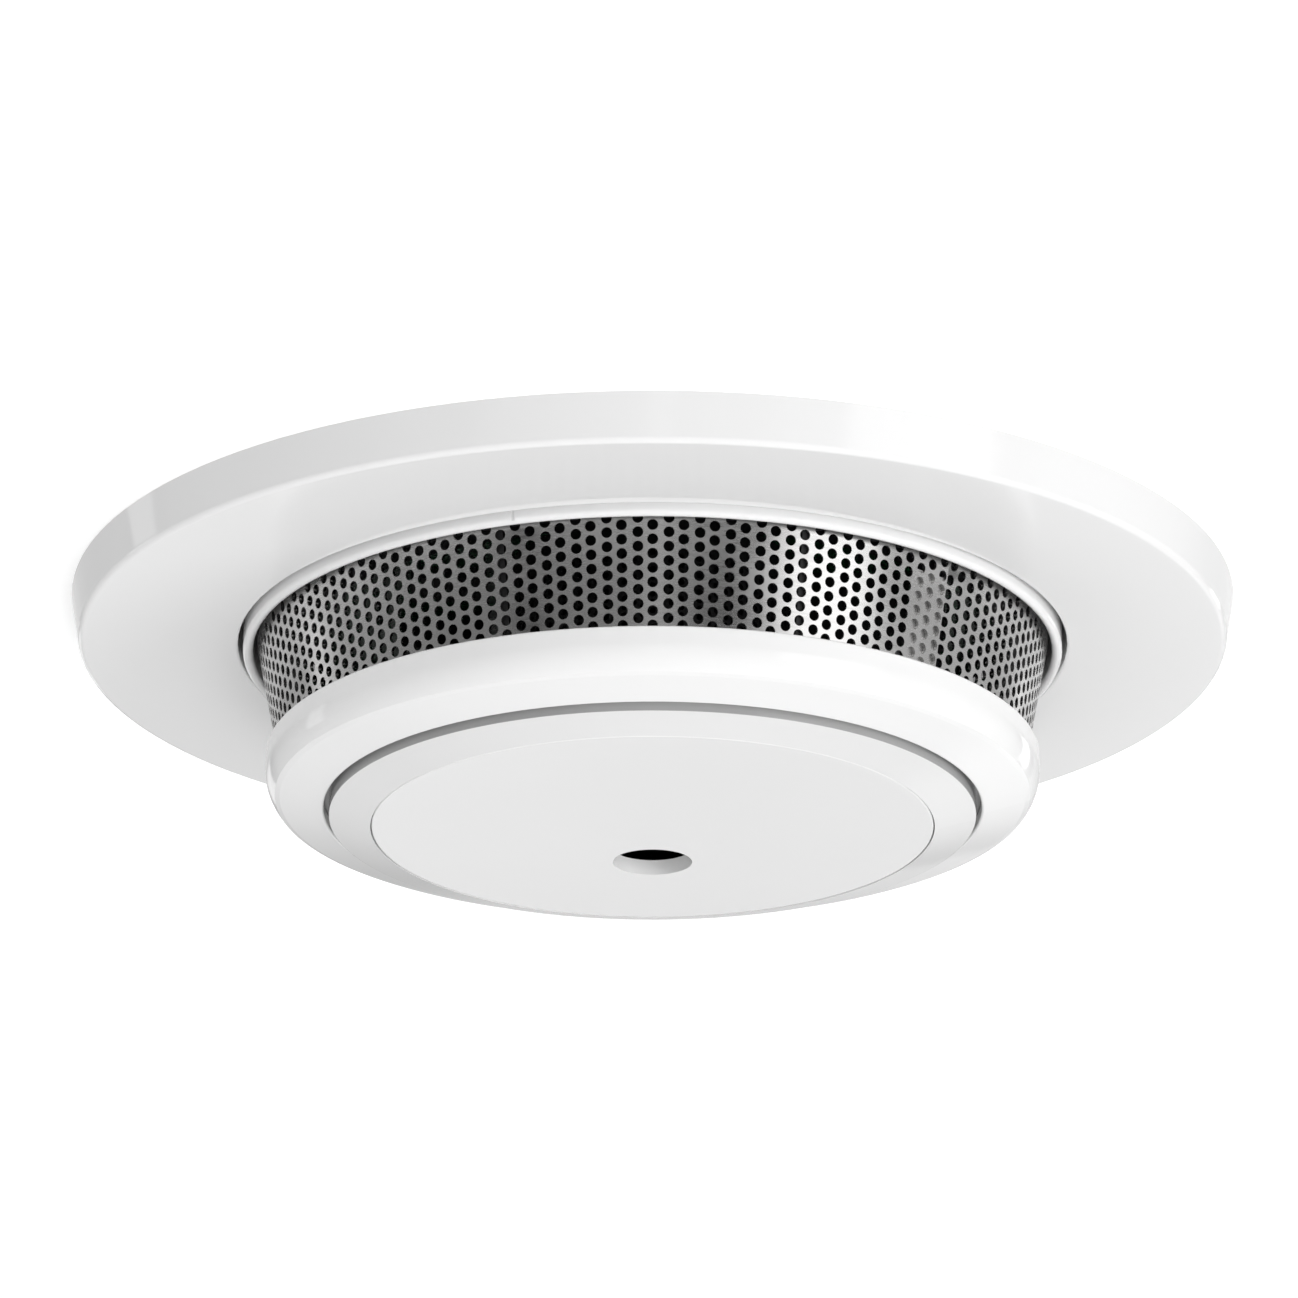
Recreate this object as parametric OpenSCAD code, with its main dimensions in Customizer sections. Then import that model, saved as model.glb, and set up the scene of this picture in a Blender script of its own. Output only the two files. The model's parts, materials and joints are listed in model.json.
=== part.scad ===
// Ceiling smoke alarm in a flush-mount trim ring.
// Origin: centre of the trim ring's ceiling face. +Z points up into the ceiling, and the room is below.
// The head hangs on a bayonet, its cover pulls straight down, and its whole underside is the test button.
// Depths are measured down from the ceiling face, and heights up from it.

/* [Trim ring] */
// Width of the trim ring, from its opening to its outer edge
flange_w = 23.8; // [19:0.2:32]
// Depth of the trim ring
flange_h = 6.8; // [5.6:0.1:9]
// Radius lost by the outer wall towards the room
flange_draft = 1.0; // [0.4:0.1:2]
// Wall of the trim ring
flange_wall = 2.2; // [1.6:0.1:2.7]
// Width of the lip that touches the ceiling
lip_w = 2.6; // [2:0.1:4]
// Radius of the lower outer edge
edge_r = 0.9; // [0.5:0.1:1.5]
// Gap between the opening and the head
opening_gap = 0.7; // [0.4:0.1:1.2]
// Number of stiffening ribs behind the trim ring
rib_count = 18; // [12:3:30]
// Number of screws that hold the can
rim_screw_count = 4; // [3:1:6]

/* [Recess can] */
// Height of the can
can_h = 30; // [29:0.5:40]
// Wall of the can
can_wall = 1.5; // [1.2:0.1:2]
// Width of the can's rim
rim_w = 6.7; // [6.4:0.1:8.2]
// Spacing of the two holes that screw to a ceiling box
box_screw_gap = 60; // [50:1:72]
// Diameter of those holes
box_screw_d = 4.5; // [3.5:0.1:5.5]
// Diameter of the cable that the gland passes
cable_d = 8; // [5:0.5:10]
// Distance of the gland behind the centre
gland_y = 24; // [20:0.5:29]

/* [Ceiling clips] */
// Thickness of the ceiling board that the clips rest on
ceiling_t = 12.5; // [10:0.5:15]
// Reach of a clip arm past its pin
clip_reach = 14; // [11.5:0.5:17]
// Width of a clip arm
clip_w = 11; // [9:0.5:13.5]
// Diameter of a clip pin
clip_pin_d = 3; // [2.5:0.1:3.6]

/* [Head] */
// Outer diameter of the bead ring
head_d = 117; // [115:0.5:141]
// Width of the bead ring
bead_w = 1.5; // [1.2:0.1:1.8]
// Depth of the bead ring
bead_depth = 8.1; // [7:0.1:9.8]
// Height of the chassis
chassis_h = 8; // [6.6:0.2:9]
// Wall of the chassis top
chassis_t = 2; // [1.6:0.1:2.4]
// Outer diameter of the bayonet collar
collar_d = 91.8; // [84:0.2:94]
// How far a bayonet lug stands out
lug_out = 2.2; // [1.8:0.1:2.7]
// Angle of a bayonet lug
lug_angle = 18; // [15:1:22]
// Gap between the circuit board and the chassis wall
board_gap = 5; // [4:0.1:6]

/* [Cover] */
// How far the cap stands in from the bead ring
cap_inset = 3.5; // [2.9:0.1:4.2]
// Depth of the cap's top edge
cap_top = 22.9; // [21.5:0.1:23.2]
// Height of the cap
cap_side = 8.1; // [8:0.1:9.8]
// Wall of the cap
cap_wall = 1.7; // [1.4:0.1:2]
// Width of the cap's underside
cap_ledge_w = 8.35; // [7.8:0.05:10]
// Gap between the perforated band and the chassis
grille_gap = 0.5; // [0.3:0.05:0.8]
// Sheet thickness of the perforated band
grille_t = 0.5; // [0.4:0.05:0.6]
// Number of upright ribs in the cage
cage_ribs = 8; // [6:1:12]

/* [Test button] */
// Gap all round the test button
button_gap = 0.75; // [0.5:0.05:1]
// Travel of the test button
button_travel = 1; // [0.6:0.1:1.2]
// Width of the button's bevel
bevel_w = 5.9; // [4.8:0.1:7.2]
// How far the disc stands below the cap
disc_drop = 2.5; // [2:0.1:3]
// Thickness of the disc
disc_t = 2.2; // [1.8:0.1:2.7]
// Diameter of the sound outlet
outlet_d = 11.4; // [9:0.2:13.8]
// Distance of the sound outlet behind the centre
outlet_y = 14.4; // [12.8:0.2:15]

/* [Hidden] */
$fn = 96;
small_fn = 32;

// clearances: a cut's overrun, a union's overlap, between bodies, a running pin, a seated edge
over = 1;
eps = 0.01;
apart = 0.3;
running = 0.06;
seat = 0.15;

// radii from the head outwards
head_r = head_d / 2;
opening_r = head_r + opening_gap;
flange_r = opening_r + flange_w;
trim_collar_r = opening_r + 2.3;
can_in_r = trim_collar_r + apart;
can_r = can_in_r + can_wall;
base_r = can_in_r - 3.8;

// radii from the head inwards
chassis_in_r = head_r - bead_w;
board_r = chassis_in_r - board_gap;
grille_top_r = chassis_in_r - grille_gap;
cap_r = head_r - cap_inset;
cap_in_r = cap_r - cap_wall;
grille_fit_r = cap_in_r - 0.1;
cap_hole_r = cap_r - cap_ledge_w;
button_r = cap_hole_r - button_gap;
disc_r = button_r - bevel_w;

// levels of the cover, from the cap upwards
cap_low = cap_top + cap_side;
disc_low = cap_low + disc_drop;
disc_top = disc_t - disc_low;
lip_t = 1.1;
lip_low = 1.9 - cap_low;
lip_top = lip_low + lip_t;
tray_t = 1.4;
tray_low = lip_top + button_travel + 0.4;
tray_top = tray_low + tray_t;
shoulder_z = tray_top - 0.4;
grille_low = tray_top + 1;
grille_top = 2.1 - bead_depth;
grille_lean = (grille_top_r - grille_fit_r) / (grille_top + cap_top);
function grille_at(z) = grille_fit_r + grille_lean * (z + cap_top);
grille_low_r = grille_at(grille_low);

// trim ring and can
bore_edge_r = 0.4;
trim_collar_top = 3;
trim_floor = flange_wall - flange_h;
rim_t = 1.5;
rim_top = -0.2;
rim_low = rim_top - rim_t;
rib_t = 1.4;
rim_screw_r = can_r + rim_w / 2;
rim_boss_r = 3;
screw_r = 1.3;
screw_hole_r = screw_r + 0.2;
gland_wall = 3;
gland_hole_r = cable_d / 2 + gland_wall;
gland_groove = 1.2;
gland_lip = 1.5;
gland_taper = 1.4;
gland_h = 6;

// clips
clip_count = 3;
clip_turn = 30;
pin_r = clip_pin_d / 2;
pin_head = 0.8;
coil_wire_r = 0.4;
coil_r = pin_r + 0.8;
coil_turns = 4;
pivot_u = can_r + coil_r + 2.4;
pivot_z = ceiling_t + pin_r + 3.5;
bracket_t = 1.2;
bracket_low = ceiling_t - 0.5;
ear_v = clip_w / 2 + apart;
heel_r = pin_r + 1.7;
ear_r = heel_r + 1;
back_h = 5.2;
cheek_t = 1.2;
pad_h = 1.8;
pad_l = 5;
arm_low = ceiling_t + pad_h;
tip_u = pivot_u + clip_reach;
web_u = pivot_u + coil_r + coil_wire_r + 1.3;
web_t = 1.2;
tip_t = 1.6;
shoulder_up = 2;

// base plate and bayonet
base_low = can_h - 10;
base_t = 2.5;
base_top = base_low + base_t;
base_screw_r = base_r - 4;
base_screw_count = 3;
base_boss_r = 4;
base_tap_r = 1.65;
base_head_r = 3.3;
collar_r = collar_d / 2;
collar_wall = 2.3;
bayonet_count = 3;
lug_t = 2.5;
lug_r = collar_r + lug_out;
skirt_in_r = lug_r + 0.4;
skirt_wall = 1.8;
ledge_low = base_low - 7.4;
skirt_low = ledge_low - 0.5;
ledge_t = 2.5;
ledge_top = ledge_low + ledge_t;
ledge_in_r = collar_r + 0.4;
ledge_angle = lug_angle + 6;
stop_angle = 2.4;
stop_play = 0.4;
lug_low = ledge_top + apart;
collar_top = lug_low + lug_t + 0.7;

// supply terminals and contacts
block = [34, 14, 9];
block_y = -2;
way_count = 4;
way_gap = 8;
way_r = 2;
way_floor = 2;
contact_r = 36;
contact_count = 4;
contact_turn = 45;
stud_h = 3;
stud_top = chassis_h + stud_h;
leaf_w = 5;
leaf_t = 0.6;

// chassis and circuit board
board_top = -0.8;
board_t = 1.6;
board_low = board_top - board_t;
board_screw_r = board_r - 6;
board_screw_count = 3;
board_screw_turn = 34;
board_boss_r = 3.2;
chassis_floor = chassis_h - chassis_t;
notch_turn = 251;
notch_w = 0.4;

// cover cage
cage_out_low_r = grille_low_r - grille_t - seat;
cage_out_top_r = grille_top_r - grille_t - seat;
cage_rib_t = 1.6;
cage_rib_w = 2;
cage_ring_t = 2;
cage_ring_w = 4.5;
cage_skirt = 1.5;
tray_r = cap_in_r - 1.8;
tongue_w = 10;
tongue_t = 1.8;
tongue_top = 2.5;
tongue_count = 4;
cap_edge_r = 0.3;
cap_straight = 2.3;
cap_curve_r = 6;
cap_curve_angle = 40;
cap_slope = 15;

// button
disc_line = 0.15;
disc_edge_r = 0.25;
bezel_edge = 0.9;
bezel_wall = 1.7;
bezel_lip_w = 1.95;
bezel_seat_w = 2.5;
bezel_seat_t = 1.1;
seat_top = disc_top + bezel_seat_t;
guide_r = 1.5;
guide_at = (disc_r - bezel_seat_w + button_r - bezel_wall) / 2;
guide_top = tray_top + 1.2;
guide_count = 3;
guide_turn = 90;
spring_r = 2.2;
spring_wire_r = 0.25;
spring_turns = 3;

// parts under the circuit board: places are [x, y] seen from above
chamber_at = [0, -22];
chamber_r = 20;
chamber_low = tray_top + 2.7;
chamber_base_t = 3.6;
chamber_base_low = board_low - chamber_base_t;
chamber_lid_t = 1.6;
vane_count = 20;
vane_t = 1;
vane_l = 5;
vane_turn = 48;
screen_t = 0.3;
optic_turn = 62;
optic_at = 10;
optic_r = 2.4;
optic_z = chamber_base_low - 3.2;
optic_l = 3.5;
holder_l = 4.5;
sounder_at = [0, outlet_y];
sounder_r = 13.5;
sounder_low = tray_top + 1.2;
sounder_wall = 1.4;
sounder_step = 3;
sounder_chamfer = 2;
throat_r = 4.5;
piezo_t = 0.5;
piezo_z = -12;
cell_d = 17;
cell_l = 34.5;
cell_at = [31, 0];
cell_z = board_low - cell_d / 2 - 1.3;
cell_cap_r = 3.2;
cell_cap_h = 1;
cell_play = 0.2;
cradle_wall = 1.5;
spring_room = 2;
blade = [8, 0.5, 10];
rod_at = [-30, 4];
rod_r = 1.8;
rod_gap = 0.05;
switch_w = 12;
switch_h = 4.3;
switch_low = board_low - switch_h;
plunger_r = 1.7;
plunger_out = button_travel + apart;
plunger_in = 0.7;
plunger_low = switch_low - plunger_out;
led_at = [-20, 4];
led_r = 1.5;
led_h = 4.6;
led_rim = 0.3;
chip_t = 1.2;
chips = [[-34, -22, 10, 10], [-22, 26, 5, 6]];
cans = [[-31, 18, 3.2], [26, 32, 4], [14, 38, 3.2]];
can_slender = 2.5;
bead_at = [-28, 34];
bead_r = 1.6;
leg_r = 0.3;
leg_l = 12;
leg_gap = 1.4;

// points of an arc about c, from one angle to another
function arc(c, r, from, to, steps = 6) =
  [for (i = [0 : steps]) let (a = from + (to - from) * i / steps) c + r * [cos(a), sin(a)]];
function unit(v) = v / norm(v);
function tangent(path, i) = unit(path[min(i + 1, len(path) - 1)] - path[max(i - 1, 0)]);

// a round wire along a path that never runs along ref
module wire(path, r, ref, sides = 8) {
  last = len(path) - 1;
  points = [for (i = [0 : last]) let (t = tangent(path, i), n = unit(cross(t, ref)), b = cross(n, t))
    for (k = [0 : sides - 1]) path[i] + r * (cos(360 * k / sides) * n + sin(360 * k / sides) * b)];
  walls = [for (i = [0 : last - 1], k = [0 : sides - 1], half = [0, 1])
    let (a = i * sides, m = (k + 1) % sides)
    half == 0 ? [a + k, a + sides + k, a + sides + m] : [a + k, a + sides + m, a + m]];
  ends = [[for (k = [0 : sides - 1]) k], [for (k = [sides - 1 : -1 : 0]) last * sides + k]];
  polyhedron(points = points, faces = concat(walls, ends), convexity = 10);
}

// a small round bar or hole from z up to z + h
module bar(r, z, h) {
  translate([0, 0, z]) cylinder(r = r, h = h, $fn = small_fn);
}

// a tube standing on z
module tube(r_out, r_in, z, h) {
  translate([0, 0, z]) difference() {
    cylinder(r = r_out, h = h);
    translate([0, 0, -over]) cylinder(r = r_in, h = h + 2 * over);
  }
}

// a sector of a tube, centred on +X
module sector(r_out, r_in, z, h, angle) {
  rotate([0, 0, -angle / 2]) rotate_extrude(angle = angle) translate([r_in, z]) square([r_out - r_in, h]);
}

// copies around the axis
module ring(count, turn = 0) {
  for (i = [0 : count - 1]) rotate([0, 0, turn + i * 360 / count]) children();
}

// a side view in u and z, given a thickness along v
module side_plate(t) {
  rotate([90, 0, 0]) linear_extrude(t, center = true) children();
}

// a cross-head screw whose head rests on z = 0 and whose shank points down
module screw(head_r, head_h, shank_r, length) {
  slot = head_r * 0.28;
  reach = head_r * 0.6;
  difference() {
    union() {
      cylinder(r1 = head_r, r2 = head_r * 0.8, h = head_h, $fn = small_fn);
      bar(shank_r, -length, length + eps);
    }
    for (turn = [0, 90]) rotate([0, 0, turn])
      translate([-reach, -slot / 2, head_h * 0.45]) cube([2 * reach, slot, head_h]);
  }
}

// ---- fixed to the ceiling ----

module trim_flange() {
  rib_in = can_r + rim_w + over;
  rib_out = flange_r - lip_w;
  color("white") difference() {
    union() {
      rotate_extrude() polygon(concat(
        [[rib_out, 0], [flange_r, 0]],
        arc([flange_r - flange_draft - edge_r, edge_r - flange_h], edge_r, 0, -90),
        arc([opening_r + bore_edge_r, bore_edge_r - flange_h], bore_edge_r, -90, -180, 4),
        [[opening_r, trim_collar_top], [trim_collar_r, trim_collar_top],
         [trim_collar_r, trim_floor], [rib_out, trim_floor]]));
      ring(rim_screw_count) translate([rim_screw_r, 0, 0])
        bar(rim_boss_r, trim_floor - eps, rim_low - trim_floor + eps);
      ring(rib_count, 180 / rib_count) translate([rib_in, -rib_t / 2, trim_floor - eps])
        cube([rib_out - rib_in + eps, rib_t, -rim_t - trim_floor]);
    }
    ring(rim_screw_count) translate([rim_screw_r, 0, 0]) bar(screw_r, trim_floor - seat, flange_h);
  }
}

module recess_can() {
  roof = can_h - can_wall;
  color("lightgray") difference() {
    union() {
      rotate_extrude() polygon([[can_in_r, rim_low], [can_r + rim_w, rim_low], [can_r + rim_w, rim_top],
        [can_r, rim_top], [can_r, can_h], [0, can_h], [0, roof], [can_in_r, roof]]);
      ring(base_screw_count) translate([base_screw_r, 0, 0])
        bar(base_boss_r, base_top, roof - base_top + eps);
    }
    ring(rim_screw_count) translate([rim_screw_r, 0, 0]) bar(screw_hole_r, rim_low - over, rim_t + 2 * over);
    ring(base_screw_count) translate([base_screw_r, 0, 0])
      bar(base_tap_r, base_top - over, roof - base_top + over / 2);
    ring(2) translate([box_screw_gap / 2, 0, 0]) bar(box_screw_d / 2, roof - over, can_wall + 2 * over);
    translate([0, gland_y, roof - over]) cylinder(r = gland_hole_r, h = can_wall + 2 * over);
  }
}

module rim_screws() {
  color("silver") ring(rim_screw_count) translate([rim_screw_r, 0, rim_top])
    screw(2.8, 1.7, screw_r, rim_top - trim_floor - 0.4);
}

module cable_gland() {
  roof = can_h - can_wall;
  low = roof - gland_groove;
  bore = cable_d / 2;
  lip_r = gland_hole_r + gland_lip;
  color("dimgray") translate([0, gland_y, 0]) rotate_extrude() polygon([
    [bore, low], [lip_r, low], [lip_r, roof], [gland_hole_r, roof], [gland_hole_r, can_h], [lip_r, can_h],
    [lip_r, can_h + gland_groove], [bore + gland_taper, low + gland_h], [bore, low + gland_h]]);
}

// a clip stands on +X, with u outwards and v sideways
module clip_bracket() {
  back = ear_v + bracket_t;
  difference() {
    union() {
      translate([can_r - over, -back, bracket_low])
        cube([bracket_t + over, 2 * back, pivot_z - bracket_low + back_h]);
      for (side = [-1, 1]) translate([0, side * (ear_v + bracket_t / 2), 0]) side_plate(bracket_t)
        polygon(concat([[can_r, bracket_low], [pivot_u + ear_r, bracket_low]],
          arc([pivot_u, pivot_z], ear_r, 0, 90), [[can_r, pivot_z + ear_r]]));
      translate([can_r, -ear_v - eps, bracket_low])
        cube([pivot_u + heel_r - can_r, 2 * (ear_v + eps), bracket_t]);
    }
    cylinder(r = can_r, h = can_h + pivot_z);
    translate([pivot_u, 0, pivot_z]) rotate([90, 0, 0]) bar(pin_r, -clip_w, 2 * clip_w);
  }
}

module clip_brackets() {
  color("silver") ring(clip_count, clip_turn) clip_bracket();
}

module clip_pins() {
  half = ear_v + bracket_t;
  color("gray") ring(clip_count, clip_turn) translate([pivot_u, 0, pivot_z]) rotate([90, 0, 0]) union() {
    bar(pin_r, -half - pin_head, 2 * (half + pin_head));
    for (side = [0, 1]) mirror([0, 0, side]) bar(pin_r + pin_head, half, pin_head);
  }
}

module clip_arm() {
  web_z = pivot_z + shoulder_up;
  color("gray") difference() {
    union() {
      for (side = [-1, 1]) translate([0, side * (clip_w - cheek_t) / 2, 0]) side_plate(cheek_t) union() {
        translate([pivot_u, pivot_z]) circle(r = heel_r, $fn = small_fn);
        polygon([[pivot_u, pivot_z - heel_r + 0.1], [web_u, arm_low], [tip_u, arm_low],
          [tip_u, arm_low + tip_t], [web_u, web_z], [pivot_u, pivot_z + heel_r - 0.1]]);
      }
      side_plate(clip_w - cheek_t) polygon([[web_u, web_z - web_t], [tip_u - pad_l, arm_low + tip_t / 2],
        [tip_u - pad_l, arm_low], [tip_u, arm_low], [tip_u, arm_low + tip_t], [web_u, web_z]]);
    }
    translate([pivot_u, 0, pivot_z]) rotate([90, 0, 0]) bar(pin_r + running, -clip_w, 2 * clip_w);
  }
}

module clip_pad() {
  color("black") translate([tip_u - pad_l / 2, 0, ceiling_t]) side_plate(clip_w)
    polygon(concat([[pad_l / 2, pad_h], [-pad_l / 2, pad_h]],
      arc([1 - pad_l / 2, 1], 1, 180, 270, 4), arc([pad_l / 2 - 1, 1], 1, 270, 360, 4)));
}

// torsion spring: a short leg down the back, turns round the pin, and a long leg under the arm
module clip_spring() {
  pitch = 2 * coil_wire_r + 0.1;
  step_angle = 25;
  leave_angle = 55;
  steps = (360 * coil_turns + 180 - leave_angle) / step_angle;
  span = pitch * steps * step_angle / 360;
  coil = [for (i = [0 : steps]) let (a = 180 - step_angle * i)
    [pivot_u + coil_r * cos(a), -span / 2 + span * i / steps, pivot_z + coil_r * sin(a)]];
  leg_back = [pivot_u - coil_r, -span / 2, pivot_z - coil_r * 0.6];
  leg_out = coil[len(coil) - 1] + clip_reach * 0.58 * [sin(leave_angle), 0, -cos(leave_angle)];
  color("silver") wire(concat([leg_back], coil, [leg_out]), coil_wire_r, [0, 1, 0]);
}

// ---- bayonet base, inside the can ----

module base_plate() {
  grip = 0.6;
  color("whitesmoke") difference() {
    union() {
      translate([0, 0, base_low]) cylinder(r = base_r, h = base_t);
      tube(skirt_in_r + skirt_wall, skirt_in_r, skirt_low, base_low - skirt_low + eps);
      ring(bayonet_count) sector(skirt_in_r + grip, ledge_in_r, ledge_low, ledge_t, ledge_angle);
      ring(bayonet_count, (lug_angle + stop_angle) / 2 + stop_play)
        sector(skirt_in_r + grip / 2, ledge_in_r, ledge_top - eps, base_low + 2 * eps - ledge_top,
          stop_angle);
    }
    ring(base_screw_count) translate([base_screw_r, 0, 0])
      bar(base_tap_r + apart, base_low - over, base_t + 2 * over);
    ring(2) translate([box_screw_gap / 2, 0, 0])
      bar(box_screw_d / 2 + 3, base_low - over, base_t + 2 * over);
    translate([0, gland_y, base_low - over]) cylinder(r = gland_hole_r + 1, h = base_t + 2 * over);
  }
}

module base_screws() {
  color("silver") ring(base_screw_count) translate([base_screw_r, 0, base_low])
    rotate([180, 0, 0]) screw(base_head_r, 2.2, base_tap_r, base_t + can_h - can_wall - base_top - 1);
}

module terminal_block() {
  color("ivory") translate([0, block_y, base_low - block[2]]) difference() {
    translate([-block[0] / 2, -block[1] / 2, 0]) cube(block);
    for (i = [0 : way_count - 1]) translate([(i - (way_count - 1) / 2) * way_gap, 0, 0]) {
      translate([0, -block[1] / 4, 0]) bar(way_r, -over, over + block[2] - way_floor - 1);
      translate([0, block[1] / 2 + over, block[2] / 2]) rotate([90, 0, 0])
        bar(way_r - 0.2, 0, block[1] / 2 + over - way_floor);
    }
  }
}

module terminal_screws() {
  head_h = 1.4;
  shank = 2.2;
  color("gold") for (i = [0 : way_count - 1])
    translate([(i - (way_count - 1) / 2) * way_gap, block_y - block[1] / 4, base_low - way_floor - 1 - shank])
      rotate([180, 0, 0]) screw(way_r - 0.1, head_h, 1.2, shank);
}

module base_contacts() {
  foot = stud_top + apart;
  heel = 3;
  toe = -3.5;
  color("gold") ring(contact_count, contact_turn) translate([contact_r, 0, 0]) side_plate(leaf_w) polygon([
    [heel, base_low], [heel, foot + heel], [toe + 2, foot], [toe, foot + 1.5], [toe, foot + 1.5 + leaf_t],
    [toe + 2, foot + leaf_t], [heel - leaf_t, foot + heel + leaf_t], [heel - leaf_t, base_low]]);
}

// ---- head ----

module chassis() {
  color("white") difference() {
    union() {
      rotate_extrude() polygon(concat(
        [[0, chassis_h], [0, chassis_floor], [chassis_in_r, chassis_floor]],
        arc([head_r - bead_w / 2, bead_w / 2 - bead_depth], bead_w / 2, 180, 360, 10),
        [[head_r, chassis_h]]));
      tube(collar_r, collar_r - collar_wall, chassis_h - eps, collar_top - chassis_h + eps);
      ring(bayonet_count) sector(lug_r, collar_r - 0.5, lug_low, lug_t, lug_angle);
      ring(board_screw_count, board_screw_turn) translate([board_screw_r, 0, 0])
        bar(board_boss_r, board_top, chassis_floor - board_top + eps);
    }
    ring(board_screw_count, board_screw_turn) translate([board_screw_r, 0, 0])
      bar(screw_r, board_top - over, chassis_floor - board_top);
    rotate([0, 0, notch_turn]) translate([head_r - notch_w / 2, -notch_w / 2, -bead_depth - over])
      cube([over, notch_w, over + bead_w + 0.5]);
  }
}

module head_contacts() {
  color("gold") ring(contact_count, contact_turn) translate([contact_r, 0, chassis_h])
    cylinder(r1 = 2.6, r2 = 2, h = stud_h, $fn = small_fn);
}

module circuit_board() {
  color("darkgreen") difference() {
    translate([0, 0, board_low]) cylinder(r = board_r, h = board_t);
    ring(board_screw_count, board_screw_turn) translate([board_screw_r, 0, 0])
      bar(screw_hole_r, board_low - over, board_t + 2 * over);
  }
}

module board_screws() {
  color("silver") ring(board_screw_count, board_screw_turn) translate([board_screw_r, 0, board_low])
    rotate([180, 0, 0]) screw(2.6, 1.6, screw_r, board_t + chassis_floor - board_top - 1.4);
}

// the emitter and the photodiode look at the chamber's middle from either side
module optic_pair() {
  for (turn = [90 - optic_turn, 90 + optic_turn]) rotate([0, 0, turn]) children();
}

module optic(turn) {
  translate([chamber_at[0], chamber_at[1], optic_z]) rotate([0, 0, turn]) translate([optic_at, 0, 0])
    rotate([0, 90, 0]) rotate_extrude($fn = small_fn)
      polygon(concat([[0, optic_l], [0, -optic_r]], arc([0, 0], optic_r, -90, 0), [[optic_r, optic_l]]));
}

module chamber_base() {
  cheek = optic_r + 1.1;
  low = optic_z - optic_r + 0.4;
  color("black") translate([chamber_at[0], chamber_at[1], 0]) difference() {
    union() {
      translate([0, 0, chamber_base_low]) cylinder(r = chamber_r, h = chamber_base_t);
      optic_pair() translate([optic_at, -cheek, low])
        cube([holder_l, 2 * cheek, chamber_base_low + eps - low]);
    }
    optic_pair() translate([0, 0, optic_z]) rotate([0, 90, 0]) bar(optic_r + 0.1, 0, chamber_r - 3);
  }
}

module ir_emitter() {
  color("lightblue") optic(90 - optic_turn);
}

module photodiode() {
  color("indigo") optic(90 + optic_turn);
}

module smoke_labyrinth() {
  lid_top = chamber_low + chamber_lid_t;
  color("black") translate([chamber_at[0], chamber_at[1], 0]) union() {
    translate([0, 0, chamber_low]) cylinder(r = chamber_r, h = chamber_lid_t);
    ring(vane_count) translate([chamber_r - vane_l + 0.6, 0, lid_top - eps]) rotate([0, 0, vane_turn])
      translate([0, -vane_t / 2, 0]) cube([vane_l, vane_t, chamber_base_low - lid_top + eps]);
  }
}

module insect_screen() {
  lid_top = chamber_low + chamber_lid_t;
  color("black") translate([chamber_at[0], chamber_at[1], 0])
    tube(chamber_r, chamber_r - screen_t, lid_top, chamber_base_low - lid_top);
}

module sounder_housing() {
  step_r = sounder_r - sounder_step;
  seat_r = sounder_r - sounder_wall;
  floor_top = sounder_low + 1.6;
  roof = board_low - 2;
  color("black") translate([sounder_at[0], sounder_at[1], 0]) rotate_extrude() polygon([
    [0, board_low], [sounder_r, board_low], [sounder_r, sounder_low + sounder_chamfer],
    [sounder_r - sounder_chamfer, sounder_low], [throat_r, sounder_low], [throat_r, floor_top],
    [step_r, floor_top], [step_r, piezo_z - piezo_t], [seat_r, piezo_z - piezo_t], [seat_r, piezo_z],
    [step_r, piezo_z], [step_r, roof], [0, roof]]);
}

module piezo_disc() {
  color("gold") translate([sounder_at[0], sounder_at[1], piezo_z - piezo_t])
    cylinder(r = sounder_r - sounder_wall, h = piezo_t);
}

module battery_cradle() {
  out_r = cell_d / 2 + cradle_wall;
  half = cell_l / 2 + cradle_wall + spring_room;
  skirt = 1;
  color("dimgray") translate([cell_at[0], cell_at[1], 0]) difference() {
    translate([-out_r, -half, cell_z - skirt]) cube([2 * out_r, 2 * half, board_low - cell_z + skirt]);
    translate([-cell_d / 2 - cell_play, cradle_wall - half, cell_z - skirt - over])
      cube([cell_d + 2 * cell_play, 2 * (half - cradle_wall), board_low - cell_z + over]);
  }
}

module battery_cell() {
  half = cell_l / 2;
  r = cell_d / 2;
  neck = half - cell_cap_h;
  color("royalblue") translate([cell_at[0], cell_at[1], cell_z]) rotate([-90, 0, 0]) rotate_extrude()
    polygon([[0, -half], [r - 0.6, -half], [r, 0.6 - half], [r, neck - 0.8], [r - 0.8, neck],
      [cell_cap_r, neck], [cell_cap_r, half], [0, half]]);
}

module battery_contacts() {
  half = cell_l / 2 + spring_room;
  cone_h = spring_room - blade[1] + eps;
  low = cell_z - 4;
  color("silver") translate([cell_at[0], cell_at[1], 0]) {
    translate([-blade[0] / 2, half - blade[1], low]) cube(blade);
    translate([0, cell_l / 2, cell_z]) rotate([-90, 0, 0]) bar(2, 0, cone_h);
    translate([-blade[0] / 2, -half, low]) cube(blade);
    translate([0, -cell_l / 2 - cone_h, cell_z]) rotate([-90, 0, 0])
      cylinder(r1 = 3.4, r2 = 2, h = cone_h, $fn = small_fn);
  }
}

module test_switch() {
  depth = plunger_in + button_travel + 0.4;
  color("darkslategray") translate([rod_at[0], rod_at[1], 0]) difference() {
    translate([-switch_w / 2, -switch_w / 2, switch_low]) cube([switch_w, switch_w, switch_h]);
    bar(plunger_r + running, switch_low - over, depth + over);
  }
}

module switch_plunger() {
  color("tomato") translate([rod_at[0], rod_at[1], 0]) bar(plunger_r, plunger_low, plunger_out + plunger_in);
}

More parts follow.
